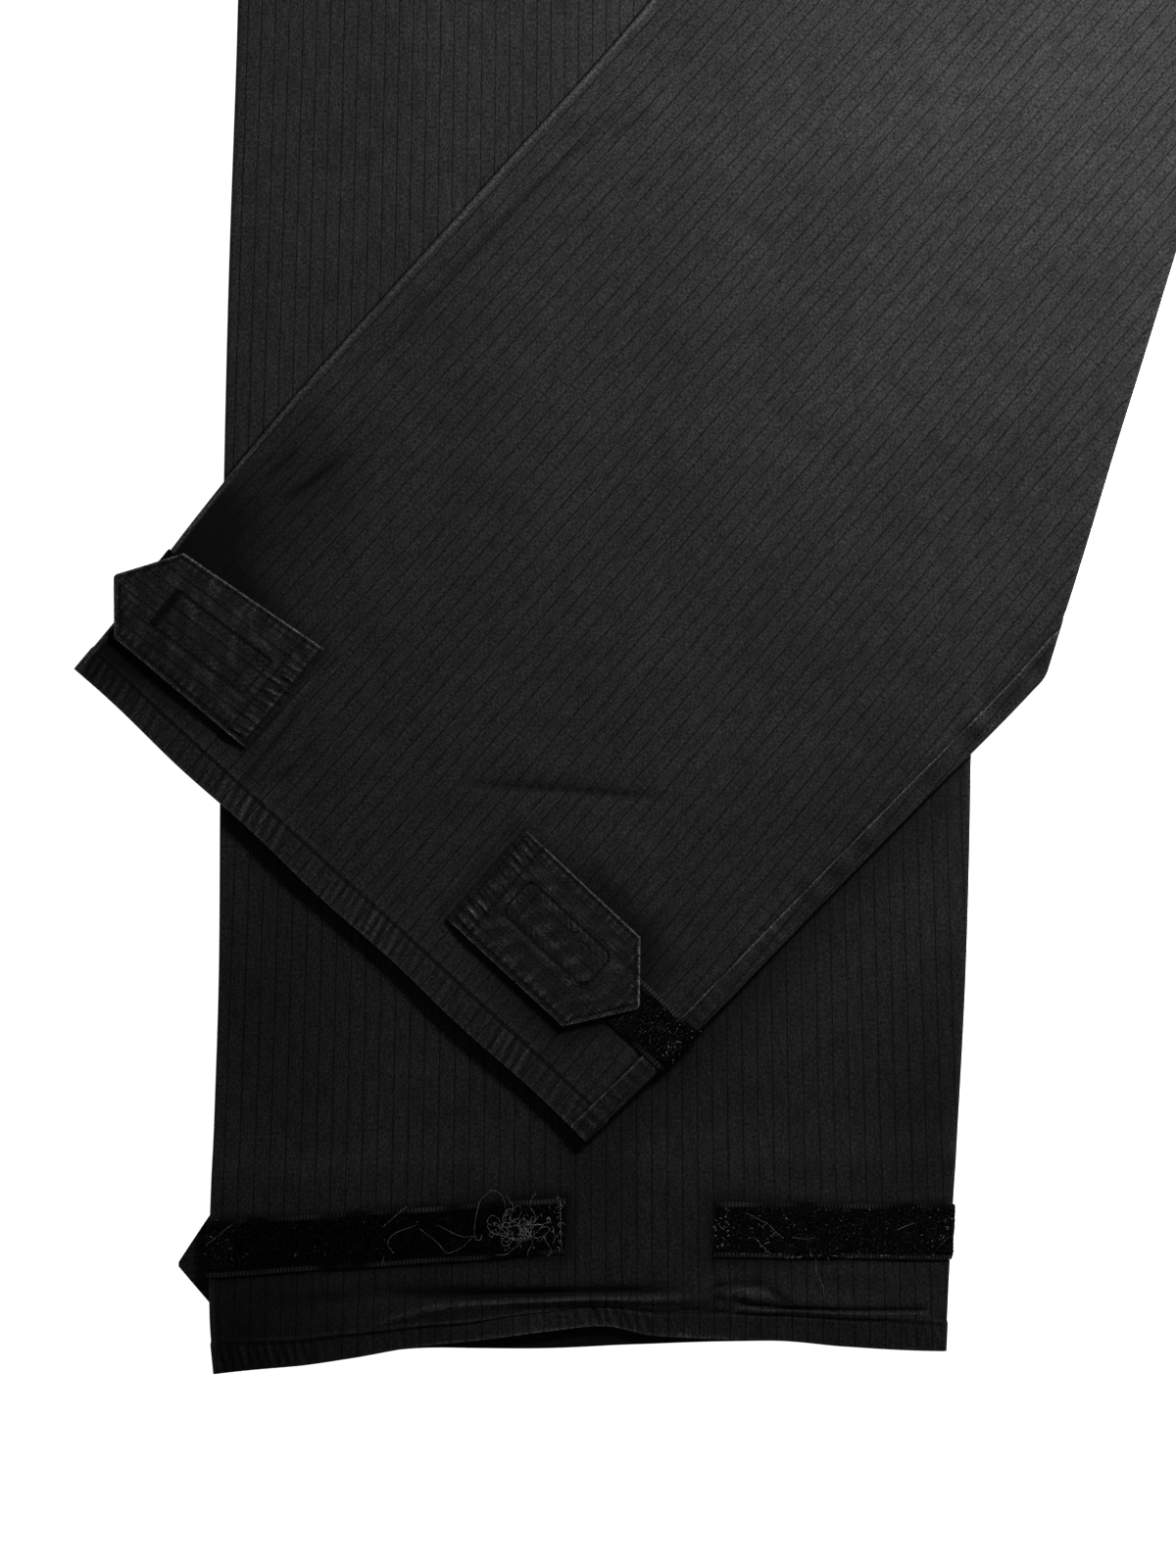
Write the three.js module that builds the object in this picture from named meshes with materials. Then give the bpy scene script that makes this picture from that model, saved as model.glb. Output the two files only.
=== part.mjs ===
// Wide-leg trousers lying flat, front up. One leg lies straight and the other is folded across it.
// Millimetres. X runs across the layout, Y from the hems to the waist, Z up from the surface below.
// The layout is drawn from the crotch. At the end the whole is moved so that its box stands on the origin.
// "right" and "left" are the wearer's. The left leg is the folded one.
import * as THREE from 'three';

// Cloth and seams
const WALL = 1.2;
const SEAM_GAP = 0.3;
const TUBE_HEIGHT = 3.6;
const EDGE_RADIUS = TUBE_HEIGHT / 2;
const QUARTER_TURN = Math.PI * EDGE_RADIUS / 2;
const FELL_WIDTH = 8.6;
const FELL_TURN = 0.3;
const FRONT_MARGIN = 6;
const BACK_MARGIN = 8;
const FELL_RAISE = 0.4;
const FELL_RAISE_FULL = 230;
const FELL_RAISE_END = 300;

// Heights along the inseam, measured up from the hem
const INSEAM = 715;
const FELL_FADE = 15;
const WAIST_SEAM = 1005;
const WAIST_TOP = 1045;

// Hem turn-up
const HEM_DEPTH = 13;
const HEM_STEP = 2;
const HEM_RAISE = 0.5;
const HEM_RISE_FADE = 34;
const HEM_LIFT_FADE = 15;

// Fold of the left leg: a line through one point, leaning right of straight up
const FOLD_EDGE_X = 46.9;
const FOLD_EDGE_Y = -378;
const FOLD_LEAN = 16.99 * Math.PI / 180;
const FOLD_NEUTRAL_RADIUS = 2;
const FOLD_AXIS_HEIGHT = TUBE_HEIGHT + SEAM_GAP / 2;
const FOLD_FACETS = 5;

// Where the folded leg runs off the side of the straight one, it comes down to the surface
const DROP_HEIGHT = TUBE_HEIGHT + SEAM_GAP;
const DROP = [
  { x: -384, share: 1 },
  { x: -374, share: 0.8 },
  { x: -359, share: 0.2 },
  { x: -349, share: 0 },
];

// Tabs, hook patches and loop tapes
const TAB_WALL = 1.5;
const TAB_TIP_WIDTH = 2;
const TAB_RISE_END = 11;
const TAB_BODY_STEPS = 3;
const FASTENER_WALL = 1;
const HOOK_START = 17;
const HOOK_END = 68;
const HOOK_WIDTH = 19;
const HOOK_STEPS = 3;
const TAPE_WIDTH = 25;
const TAPE_CLEARANCE = 3;
const TAB_STACK = SEAM_GAP + FASTENER_WALL + SEAM_GAP;

// Waistband and button
const BAND_RAISE = 0.6;
const LAP_LENGTH = 28;
const LAP_RISE_START = 14;
const LAP_RISE_END = 2;
const LAP_RISE = WALL + BAND_RAISE + SEAM_GAP;
const BUTTON_RADIUS = 8.5;
const BUTTON_WALL = 3;
const BUTTON_SIDES = 20;
const BUTTON_INSET = 13;
const BUTTON_EDGE = 0.8;
const BUTTON_RIM = 1.8;

// Sections of each leg: both ends of a row across it, from the hem (up 0) to the top of the waistband
const RIGHT_SECTIONS = [
  { up: 0, outerX: -345, outerY: -730, innerX: -9, innerY: -719 },
  { up: 24, outerX: -347, outerY: -704, innerX: -8, innerY: -695 },
  { up: 62, outerX: -347, outerY: -664, innerX: -6, innerY: -657 },
  { up: 115, outerX: -345, outerY: -610, innerX: -2.5, innerY: -603 },
  { up: 178, outerX: -343, outerY: -546, innerX: 0.6, innerY: -540 },
  { up: 259, outerX: -342.4, outerY: -462, innerX: 2.6, innerY: -459 },
  { up: 366, outerX: -341.2, outerY: -352, innerX: 3.2, innerY: -351 },
  { up: 482, outerX: -338.7, outerY: -236, innerX: 2, innerY: -234 },
  { up: 590, outerX: -335, outerY: -129, innerX: 2, innerY: -126 },
  { up: 652, outerX: -333, outerY: -70, innerX: 1, innerY: -63 },
  { up: 715, outerX: -328.5, outerY: -14, innerX: 0, innerY: 0 },
  { up: 756, outerX: -319, outerY: 32, innerX: -4, innerY: 40 },
  { up: 842, outerX: -297, outerY: 117, innerX: -11, innerY: 126 },
  { up: 928, outerX: -270, outerY: 194, innerX: -18, innerY: 212 },
  { up: 1005, outerX: -242, outerY: 268, innerX: -25, innerY: 289 },
  { up: 1045, outerX: -244, outerY: 308, innerX: -29, innerY: 329 },
];
const LEFT_SECTIONS = [
  { up: 0, outerX: 408, outerY: -656, innerX: 92, innerY: -704 },
  { up: 40, outerX: 404, outerY: -616, innerX: 83.5, innerY: -664 },
  { up: 90, outerX: 400.5, outerY: -566, innerX: 74, innerY: -615 },
  { up: 150, outerX: 395.5, outerY: -507, innerX: 63.3, innerY: -556 },
  { up: 220, outerX: 386, outerY: -438, innerX: 50.5, innerY: -487 },
  { up: 300, outerX: 374.5, outerY: -358, innerX: 36.3, innerY: -409 },
  { up: 380, outerX: 363, outerY: -279, innerX: 29.5, innerY: -330 },
  { up: 470, outerX: 354, outerY: -190, innerX: 22, innerY: -241 },
  { up: 560, outerX: 347, outerY: -101, innerX: 14, innerY: -152 },
  { up: 640, outerX: 342, outerY: -28, innerX: 7, innerY: -74 },
  { up: 715, outerX: 333.5, outerY: 24, innerX: 0, innerY: 0 },
  { up: 756, outerX: 316.5, outerY: 76, innerX: -4, innerY: 40 },
  { up: 842, outerX: 281, outerY: 152, innerX: -11, innerY: 126 },
  { up: 928, outerX: 237, outerY: 236, innerX: -18, innerY: 212 },
  { up: 1005, outerX: 190, outerY: 310, innerX: -25, innerY: 289 },
  { up: 1045, outerX: 186, outerY: 350, innerX: -29, innerY: 329 },
];

// How far the straight leg's hem is drawn up between its corners, on each wall
const RIGHT_HEM_RISE = [
  { across: 0, back: 0, front: 0 },
  { across: 0.11, back: 2, front: 2 },
  { across: 0.18, back: 5, front: 5 },
  { across: 0.26, back: 7.8, front: 8.2 },
  { across: 0.36, back: 7, front: 10.5 },
  { across: 0.46, back: 6.8, front: 14.5 },
  { across: 0.54, back: 6.5, front: 15.3 },
  { across: 0.6, back: 6.4, front: 10.5 },
  { across: 0.7, back: 7.4, front: 8.6 },
  { across: 0.78, back: 6.4, front: 6.6 },
  { across: 0.86, back: 2.8, front: 2.8 },
  { across: 1, back: 0, front: 0 },
];
const LEVEL_HEM = [
  { across: 0, back: 0, front: 0 },
  { across: 1, back: 0, front: 0 },
];

// The long wrinkle above the straight leg's hem, on the front wall only
const WRINKLE_HALF_WIDTH = 8;
const WRINKLE = [
  { across: 0.1, up: 24, height: 0 },
  { across: 0.27, up: 25, height: 1 },
  { across: 0.5, up: 26, height: 2.2 },
  { across: 0.73, up: 27, height: 2.6 },
  { across: 0.9, up: 20, height: 1.4 },
  { across: 1, up: 18, height: 0 },
];

// The curved crease that runs up beside the folded leg's inner tab, on the back wall only
const CREASE_HALF_WIDTH = 9;
const CREASE = [
  { across: 0.46, up: 78, height: 0 },
  { across: 0.53, up: 85, height: 0.9 },
  { across: 0.64, up: 114, height: 1.4 },
  { across: 0.73, up: 136, height: 0.7 },
  { across: 0.8, up: 150, height: 0 },
];
const NO_WRINKLE = [
  { across: 0, up: 0, height: 0 },
  { across: 1, up: 0, height: 0 },
];

// How far a leg is lifted off the layer below by what is fastened under it near the hem
const RIGHT_LIFT = 3.15;
const RIGHT_LIFT_ACROSS = [
  { across: 0, share: 1 },
  { across: 0.34, share: 1 },
  { across: 0.42, share: 0.15 },
  { across: 0.52, share: 0.15 },
  { across: 0.58, share: 1 },
  { across: 1, share: 1 },
];
const RIGHT_LIFT_UP = [
  { up: 0, share: 0.15 },
  { up: 18, share: 1 },
  { up: 88, share: 1 },
  { up: 97, share: 0.35 },
  { up: 106, share: 0 },
];
const LEFT_LIFT = 1.6;
const LEFT_LIFT_ACROSS = [
  { across: 0, share: 1 },
  { across: 1, share: 1 },
];
const LEFT_LIFT_UP = [
  { up: 0, share: 0.3 },
  { up: 33, share: 1 },
  { up: 88, share: 1 },
  { up: 135, share: 0 },
];

// Outline of the tab at each edge. Slant is how far its ends lean for each millimetre across it.
const TAB_SHAPES = {
  outer: {
    baseWidth: 57.6, shoulderWidth: 49.8, shoulder: 79.6,
    tip: 98, tipAside: -2.1, slant: 0.12, boxAside: 0,
  },
  inner: {
    baseWidth: 54.7, shoulderWidth: 54.3, shoulder: 72.5,
    tip: 92.8, tipAside: 2.8, slant: 0.08, boxAside: 2,
  },
};

// Tabs: their base's middle from the named side edge, its height above the hem, and the turn in degrees
const TABS = [
  { leg: 'right', edge: 'outer', base: 83.4, up: 58.6, turn: -5.4 },
  { leg: 'right', edge: 'inner', base: 116, up: 56, turn: 1 },
  { leg: 'left', edge: 'outer', base: 84.8, up: 55.6, turn: -5.4 },
  { leg: 'left', edge: 'inner', base: 120.2, up: 58.5, turn: -0.5 },
];

// Loop tapes: lengths from the side edge along the back and the front, and the middle's heights
const TAPES = [
  { leg: 'right', edge: 'outer', back: 12, front: 161.4, upBack: 55, upEdge: 54, upFront: 60.8 },
  { leg: 'right', edge: 'inner', back: 42, front: 107, upBack: 57, upEdge: 54.5, upFront: 58 },
  { leg: 'left', edge: 'outer', back: 12, front: 161.4, upBack: 57, upEdge: 57.5, upFront: 60 },
  { leg: 'left', edge: 'inner', back: 42, front: 107, upBack: 58.5, upEdge: 58.5, upFront: 59 },
];

// Mesh rows and columns
const PANEL_LEVELS = [
  0, HEM_DEPTH, HEM_DEPTH + HEM_STEP, 20, 26, 33, 45, 66, 88, 97, 106, 135, 165, 230, 300, 390, 490, 590,
  650, INSEAM - FELL_FADE, INSEAM, 756, 842, 925, WAIST_SEAM,
];
const ACROSS_STEPS = 12;
const BAND_STEPS = 4;
const TAB_COLUMNS = 4;
const TAPE_STEP = 15;
const TAPE_TURN_STEPS = 3;
const HALF_WIDTHS = [-0.5, 0, 0.5];
const ON_THE_LINE = 1e-6;
const NEAR_THE_LINE = 0.01;

// Colours and roughness
const CLOTH_ROUGHNESS = 0.92;
const TAB_ROUGHNESS = 0.9;
const TAPE_ROUGHNESS = 1;
const BUTTON_ROUGHNESS = 0.5;
const CLOTH_COLOUR = 0x232427;
const TAB_COLOUR = 0x26272a;
const TAPE_COLOUR = 0x0d0d0f;
const HOOK_COLOUR = 0x141416;
const BUTTON_COLOUR = 0x1b1b1d;

const LEGS = {
  right: {
    sections: RIGHT_SECTIONS,
    hemRise: RIGHT_HEM_RISE,
    frontWrinkle: WRINKLE,
    backWrinkle: NO_WRINKLE,
    wrinkleHalfWidth: WRINKLE_HALF_WIDTH,
    lift: RIGHT_LIFT,
    liftAcross: RIGHT_LIFT_ACROSS,
    liftUp: RIGHT_LIFT_UP,
    folded: false,
  },
  left: {
    sections: LEFT_SECTIONS,
    hemRise: LEVEL_HEM,
    frontWrinkle: NO_WRINKLE,
    backWrinkle: CREASE,
    wrinkleHalfWidth: CREASE_HALF_WIDTH,
    lift: LEFT_LIFT,
    liftAcross: LEFT_LIFT_ACROSS,
    liftUp: LEFT_LIFT_UP,
    folded: true,
  },
};

const lerp = (a, b, t) => a + (b - a) * t;
const clamp01 = (t) => Math.min(1, Math.max(0, t));
const smoothstep = (t) => clamp01(t) ** 2 * (3 - 2 * clamp01(t));

// Value of one column of a table at a place along its key, on straight lines between the rows
function lookUp(table, key, at, column) {
  if (at <= table[0][key]) return table[0][column];
  for (let i = 1; i < table.length; i++) {
    if (at <= table[i][key]) {
      const share = (at - table[i - 1][key]) / (table[i][key] - table[i - 1][key]);
      return lerp(table[i - 1][column], table[i][column], share);
    }
  }
  return table[table.length - 1][column];
}

// The same on a smooth curve through the rows, running straight on past the first and the last
function curveAt(table, key, at, column) {
  let i = 1;
  while (i < table.length - 1 && at > table[i][key]) i++;
  const [before, start, end, after] = [
    table[Math.max(i - 2, 0)], table[i - 1], table[i], table[Math.min(i + 1, table.length - 1)],
  ];
  const span = end[key] - start[key];
  const t = (at - start[key]) / span;
  if (t < 0 || t > 1) return lerp(start[column], end[column], t);
  const slopeStart = (end[column] - before[column]) / (end[key] - before[key]) * span;
  const slopeEnd = (after[column] - start[column]) / (after[key] - start[key]) * span;
  return (2 * t ** 3 - 3 * t ** 2 + 1) * start[column] + (t ** 3 - 2 * t ** 2 + t) * slopeStart
    + (3 * t ** 2 - 2 * t ** 3) * end[column] + (t ** 3 - t ** 2) * slopeEnd;
}

// Plan point on a leg: a height above the hem, and a distance in from its outer or inner edge
function planPoint(leg, up, edge, inward) {
  const outer = [curveAt(leg.sections, 'up', up, 'outerX'), curveAt(leg.sections, 'up', up, 'outerY')];
  const inner = [curveAt(leg.sections, 'up', up, 'innerX'), curveAt(leg.sections, 'up', up, 'innerY')];
  const width = Math.hypot(inner[0] - outer[0], inner[1] - outer[1]);
  const share = edge === 'outer' ? inward / width : 1 - inward / width;
  return {
    x: lerp(outer[0], inner[0], share),
    y: lerp(outer[1], inner[1], share),
    across: share,
    width,
  };
}

const legWidth = (leg, up) => planPoint(leg, up, 'outer', 0).width;

function liftAt(leg, across, up) {
  const overHem = HEM_RAISE * clamp01((HEM_DEPTH + HEM_STEP + HEM_LIFT_FADE - up) / HEM_LIFT_FADE);
  const share = lookUp(leg.liftAcross, 'across', across, 'share') * lookUp(leg.liftUp, 'up', up, 'share');
  return overHem + leg.lift * share;
}

// A layout point with its height inside the leg and the lift of the leg there
function legPoint(leg, up, edge, inward, height) {
  const plan = planPoint(leg, up, edge, inward);
  return [plan.x, plan.y, height, liftAt(leg, plan.across, up)];
}

// Place on the skin of a pressed-flat leg: a signed way round its side edge, positive on the front,
// and a distance out from the skin
function roundEdge(way, out) {
  const radius = EDGE_RADIUS + out;
  if (Math.abs(way) <= QUARTER_TURN) {
    const angle = way / EDGE_RADIUS;
    return {
      inward: EDGE_RADIUS - radius * Math.cos(angle),
      height: EDGE_RADIUS + radius * Math.sin(angle),
    };
  }
  const inward = EDGE_RADIUS + Math.abs(way) - QUARTER_TURN;
  return { inward, height: EDGE_RADIUS + Math.sign(way) * radius };
}

// Place on the side edge where one wall stops, half a seam gap from the middle
function atSeam(side, out) {
  const radius = EDGE_RADIUS + out;
  const rise = side * SEAM_GAP / 2;
  return { inward: EDGE_RADIUS - Math.sqrt(radius ** 2 - rise ** 2), height: EDGE_RADIUS + rise };
}

function wrinkleAt(table, halfWidth, across, up) {
  if (across <= table[0].across || across >= table[table.length - 1].across) return 0;
  const middle = lookUp(table, 'across', across, 'up');
  const away = clamp01(Math.abs(up - middle) / halfWidth);
  return lookUp(table, 'across', across, 'height') * (0.5 + 0.5 * Math.cos(Math.PI * away));
}

// How much of the hem's turn-up thickness there is at a height above the hem
const hemShare = (up) => clamp01((HEM_DEPTH + HEM_STEP - up) / HEM_STEP);

// The felled seam stands proud where it faces up, and is pressed flat where the garment rests on it
function fellRaise(leg, up) {
  if (!leg.folded) return 0;
  return FELL_RAISE * clamp01((FELL_RAISE_END - up) / (FELL_RAISE_END - FELL_RAISE_FULL));
}

// One point of a front or back panel. The skin is its outer face or its inner one.
function panelPoint(leg, side, up, column, outerSkin) {
  const isFront = side > 0;
  const out = outerSkin ? HEM_RAISE * hemShare(up) : -WALL;
  const width = legWidth(leg, up);
  const wrapped = clamp01((INSEAM - up) / FELL_FADE);
  let inward;
  let height;
  if (column.kind === 'outerSeam') {
    ({ inward, height } = atSeam(side, out));
  } else if (column.kind === 'outerTurn') {
    ({ inward, height } = roundEdge(side * column.way, out));
  } else if (column.kind === 'across') {
    const innerReach = EDGE_RADIUS + (isFront ? FRONT_MARGIN : FELL_WIDTH + BACK_MARGIN);
    inward = lerp(EDGE_RADIUS, width - innerReach, column.share);
    height = EDGE_RADIUS + side * (EDGE_RADIUS + out);
  } else {
    const raised = outerSkin && column.way < -QUARTER_TURN ? out + fellRaise(leg, up) : out;
    const turned = isFront ? roundEdge(column.way, raised) : { inward: column.way, height: -out };
    const flatHeight = EDGE_RADIUS + side * (EDGE_RADIUS + out);
    inward = width - lerp(column.flat, turned.inward, wrapped);
    height = lerp(flatHeight, turned.height, wrapped);
  }
  const share = clamp01(inward / width);
  const rise = curveAt(leg.hemRise, 'across', share, isFront ? 'front' : 'back');
  const shownUp = up + rise * (1 - smoothstep(up / HEM_RISE_FADE));
  const wrinkle = isFront ? leg.frontWrinkle : leg.backWrinkle;
  const bump = side * wrinkleAt(wrinkle, leg.wrinkleHalfWidth, share, up);
  const onTop = column.kind === 'across' ? bump : 0;
  const point = legPoint(leg, shownUp, 'outer', inward, height + onTop);
  point[3] = liftAt(leg, share, up);
  return point;
}

function panelColumns(side) {
  const columns = [
    { kind: 'outerSeam' },
    { kind: 'outerTurn', way: QUARTER_TURN / 2 },
    { kind: 'outerTurn', way: QUARTER_TURN },
  ];
  for (let i = 1; i <= ACROSS_STEPS; i++) {
    columns.push({ kind: 'across', share: i / ACROSS_STEPS });
  }
  const centre = SEAM_GAP / 2;
  if (side < 0) {
    columns.push({ kind: 'inner', way: EDGE_RADIUS + FELL_WIDTH + SEAM_GAP, flat: centre });
    return columns;
  }
  const ways = [
    QUARTER_TURN, QUARTER_TURN / 2, 0, -QUARTER_TURN / 2, -QUARTER_TURN,
    -(QUARTER_TURN + FELL_TURN), -(QUARTER_TURN + FELL_WIDTH),
  ];
  ways.forEach((way, i) => {
    columns.push({ kind: 'inner', way, flat: centre + (ways.length - 1 - i) });
  });
  return columns;
}

// Closed wall between two grids of points with the same rows and columns
function wallBetween(outerGrid, innerGrid) {
  const rows = outerGrid.length;
  const columns = outerGrid[0].length;
  const points = [...outerGrid.flat(), ...innerGrid.flat()];
  const faces = [];
  const outerAt = (r, c) => r * columns + c;
  const innerAt = (r, c) => rows * columns + r * columns + c;
  const quad = (...corners) => faces.push(corners);
  for (let r = 0; r < rows - 1; r++) {
    for (let c = 0; c < columns - 1; c++) {
      quad(outerAt(r, c), outerAt(r, c + 1), outerAt(r + 1, c + 1), outerAt(r + 1, c));
      quad(innerAt(r, c), innerAt(r + 1, c), innerAt(r + 1, c + 1), innerAt(r, c + 1));
    }
  }
  for (let c = 0; c < columns - 1; c++) {
    quad(outerAt(0, c + 1), outerAt(0, c), innerAt(0, c), innerAt(0, c + 1));
    quad(outerAt(rows - 1, c), outerAt(rows - 1, c + 1), innerAt(rows - 1, c + 1), innerAt(rows - 1, c));
  }
  for (let r = 0; r < rows - 1; r++) {
    quad(outerAt(r, 0), outerAt(r + 1, 0), innerAt(r + 1, 0), innerAt(r, 0));
    const last = columns - 1;
    quad(outerAt(r + 1, last), outerAt(r, last), innerAt(r, last), innerAt(r + 1, last));
  }
  return { points, faces };
}

// Cuts every face that crosses a level of a measure, so that the wall can bend there
function sliceAt(wall, measure, level, applies) {
  const points = [...wall.points];
  const faces = [];
  const made = new Map();
  const values = points.map((point) => measure(point) - level);
  const sideOf = (i) => (Math.abs(values[i]) < ON_THE_LINE ? 0 : Math.sign(values[i]));
  const crossing = (a, b) => {
    const key = a < b ? `${a}_${b}` : `${b}_${a}`;
    if (!made.has(key)) {
      const t = values[a] / (values[a] - values[b]);
      made.set(key, points.push(points[a].map((value, i) => lerp(value, points[b][i], t))) - 1);
    }
    return made.get(key);
  };
  for (const face of wall.faces) {
    const sides = face.map(sideOf);
    if (!applies(face.map((i) => points[i])) || !(sides.includes(1) && sides.includes(-1))) {
      faces.push(face);
      continue;
    }
    const beyond = [];
    const before = [];
    face.forEach((corner, k) => {
      const next = (k + 1) % face.length;
      if (sides[k] >= 0) beyond.push(corner);
      if (sides[k] <= 0) before.push(corner);
      if (sides[k] * sides[next] < 0) {
        const cut = crossing(corner, face[next]);
        beyond.push(cut);
        before.push(cut);
      }
    });
    faces.push(beyond, before);
  }
  return { points, faces };
}

// Fold of the left leg
const FOLD_ALONG = [Math.sin(FOLD_LEAN), Math.cos(FOLD_LEAN)];
const FOLD_ACROSS = [FOLD_ALONG[1], -FOLD_ALONG[0]];
const FOLD_ARC = Math.PI * FOLD_NEUTRAL_RADIUS;

// Distance of an unfolded point past the line where the bend starts
function pastFold(point) {
  const x = point[0] - FOLD_EDGE_X;
  const y = point[1] - FOLD_EDGE_Y;
  return x * FOLD_ACROSS[0] + y * FOLD_ACROSS[1] + FOLD_AXIS_HEIGHT;
}

function foldOver(point) {
  const past = pastFold(point);
  const away = FOLD_AXIS_HEIGHT - point[2];
  if (past <= 0) return [point[0], point[1], point[2] + point[3]];
  let shifted;
  let height;
  if (past < FOLD_ARC) {
    const angle = past / FOLD_NEUTRAL_RADIUS;
    shifted = away * Math.sin(angle);
    height = FOLD_AXIS_HEIGHT - away * Math.cos(angle);
  } else {
    shifted = FOLD_ARC - past;
    height = FOLD_AXIS_HEIGHT + away;
  }
  const x = point[0] + (shifted - past) * FOLD_ACROSS[0];
  const y = point[1] + (shifted - past) * FOLD_ACROSS[1];
  return [x, y, height + point[3] - DROP_HEIGHT * lookUp(DROP, 'x', x, 'share')];
}

const layFlat = (point) => [point[0], point[1], point[2] + point[3]];

// Puts a wall of the leg where it lies
function settle(leg, wall) {
  if (!leg.folded) return { points: wall.points.map(layFlat), faces: wall.faces };
  let cut = wall;
  for (let i = 0; i <= FOLD_FACETS; i++) {
    cut = sliceAt(cut, pastFold, FOLD_ARC * i / FOLD_FACETS, () => true);
  }
  const flapOnly = (points) => points.every((point) => pastFold(point) > FOLD_ARC - NEAR_THE_LINE);
  const foldedX = (point) => point[0] + (FOLD_ARC - 2 * pastFold(point)) * FOLD_ACROSS[0];
  for (const { x } of DROP) {
    cut = sliceAt(cut, foldedX, x, flapOnly);
  }
  return { points: cut.points.map(foldOver), faces: cut.faces };
}

// Fans each face with more than three corners out into triangles
function trianglesOf(wall) {
  return wall.faces.flatMap(
    (face) => face.slice(2).map((corner, i) => [face[0], face[i + 1], corner]),
  );
}

function volumeOf(wall, triangles) {
  let volume = 0;
  for (const [a, b, c] of triangles) {
    const [p, q, r] = [wall.points[a], wall.points[b], wall.points[c]];
    volume += p[0] * (q[1] * r[2] - q[2] * r[1]) - p[1] * (q[0] * r[2] - q[2] * r[0])
      + p[2] * (q[0] * r[1] - q[1] * r[0]);
  }
  return volume / 6;
}

function toMesh(name, wall, colour, roughness) {
  const triangles = trianglesOf(wall);
  const outward = volumeOf(wall, triangles) > 0 ? triangles : triangles.map(([a, b, c]) => [a, c, b]);
  const geometry = new THREE.BufferGeometry();
  geometry.setAttribute('position', new THREE.Float32BufferAttribute(wall.points.flat(), 3));
  geometry.setIndex(outward.flat());
  geometry.computeVertexNormals();
  const material = new THREE.MeshStandardMaterial({ color: colour, roughness, metalness: 0 });
  material.name = name;
  const mesh = new THREE.Mesh(geometry, material);
  mesh.name = name;
  return mesh;
}

function makePanel(legName, side) {
  const leg = LEGS[legName];
  const columns = panelColumns(side);
  const grid = (outerSkin) => PANEL_LEVELS.map(
    (up) => columns.map((column) => panelPoint(leg, side, up, column, outerSkin)),
  );
  const wall = settle(leg, wallBetween(grid(true), grid(false)));
  return toMesh(`${legName}_${side > 0 ? 'front' : 'back'}`, wall, CLOTH_COLOUR, CLOTH_ROUGHNESS);
}

// A point on or behind a tab, at a distance from its base and a distance aside of its middle line
function tabPoint(spec, along, aside, height) {
  const turn = spec.turn * Math.PI / 180;
  const slanted = along - TAB_SHAPES[spec.edge].slant * aside;
  const inward = spec.base - slanted * Math.cos(turn) + aside * Math.sin(turn);
  const up = spec.up + slanted * Math.sin(turn) + aside * Math.cos(turn);
  return legPoint(LEGS[spec.leg], up, spec.edge, inward, height);
}

// Cross sections of a tab: its width and the shift of its middle at each distance from the base
function tabStations({ baseWidth, shoulderWidth, shoulder, tip, tipAside }) {
  const stations = [0];
  for (let i = 0; i <= TAB_BODY_STEPS; i++) {
    stations.push(lerp(TAB_RISE_END, shoulder, i / TAB_BODY_STEPS));
  }
  stations.push((shoulder + tip) / 2, tip);
  return stations.map((along) => {
    const narrowed = clamp01((along - shoulder) / (tip - shoulder));
    const body = lerp(baseWidth, shoulderWidth, clamp01(along / shoulder));
    return { along, width: lerp(body, TAB_TIP_WIDTH, narrowed), middle: tipAside * narrowed };
  });
}

// Tab: a pointed strip sewn down at its base, clear of the fastener between it and the leg
function makeTab(spec) {
  const grid = (outerSkin) => tabStations(TAB_SHAPES[spec.edge]).map(({ along, width, middle }) => {
    const risen = lerp(SEAM_GAP, TAB_STACK, clamp01(along / TAB_RISE_END));
    const row = [];
    for (let i = 0; i <= TAB_COLUMNS; i++) {
      const aside = middle + width * (i / TAB_COLUMNS - 0.5);
      row.push(tabPoint(spec, along, aside, -risen - (outerSkin ? TAB_WALL : 0)));
    }
    return row;
  });
  const wall = settle(LEGS[spec.leg], wallBetween(grid(true), grid(false)));
  return toMesh(`${spec.leg}_tab_${spec.edge}`, wall, TAB_COLOUR, TAB_ROUGHNESS);
}

// Hook patch behind a tab
function makeHook(spec) {
  const { boxAside } = TAB_SHAPES[spec.edge];
  const row = (along, outerSkin) => HALF_WIDTHS.map((share) => (
    tabPoint(spec, along, boxAside + share * HOOK_WIDTH, -SEAM_GAP - (outerSkin ? FASTENER_WALL : 0))
  ));
  const grid = (outerSkin) => {
    const rows = [];
    for (let step = 0; step <= HOOK_STEPS; step++) {
      rows.push(row(lerp(HOOK_START, HOOK_END, step / HOOK_STEPS), outerSkin));
    }
    return rows;
  };
  const wall = settle(LEGS[spec.leg], wallBetween(grid(true), grid(false)));
  return toMesh(`${spec.leg}_hook_${spec.edge}`, wall, HOOK_COLOUR, TAPE_ROUGHNESS);
}

// How far a tape on the back is held off by the felled seam it crosses
function overFell(spec, way) {
  if (spec.edge !== 'inner' || way > 0) return 0;
  const pastSeam = -way - QUARTER_TURN - FELL_WIDTH - TAPE_CLEARANCE;
  const share = clamp01(-way / QUARTER_TURN) * (1 - clamp01(pastSeam / TAPE_CLEARANCE));
  return fellRaise(LEGS[spec.leg], spec.upEdge) * share;
}

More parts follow.
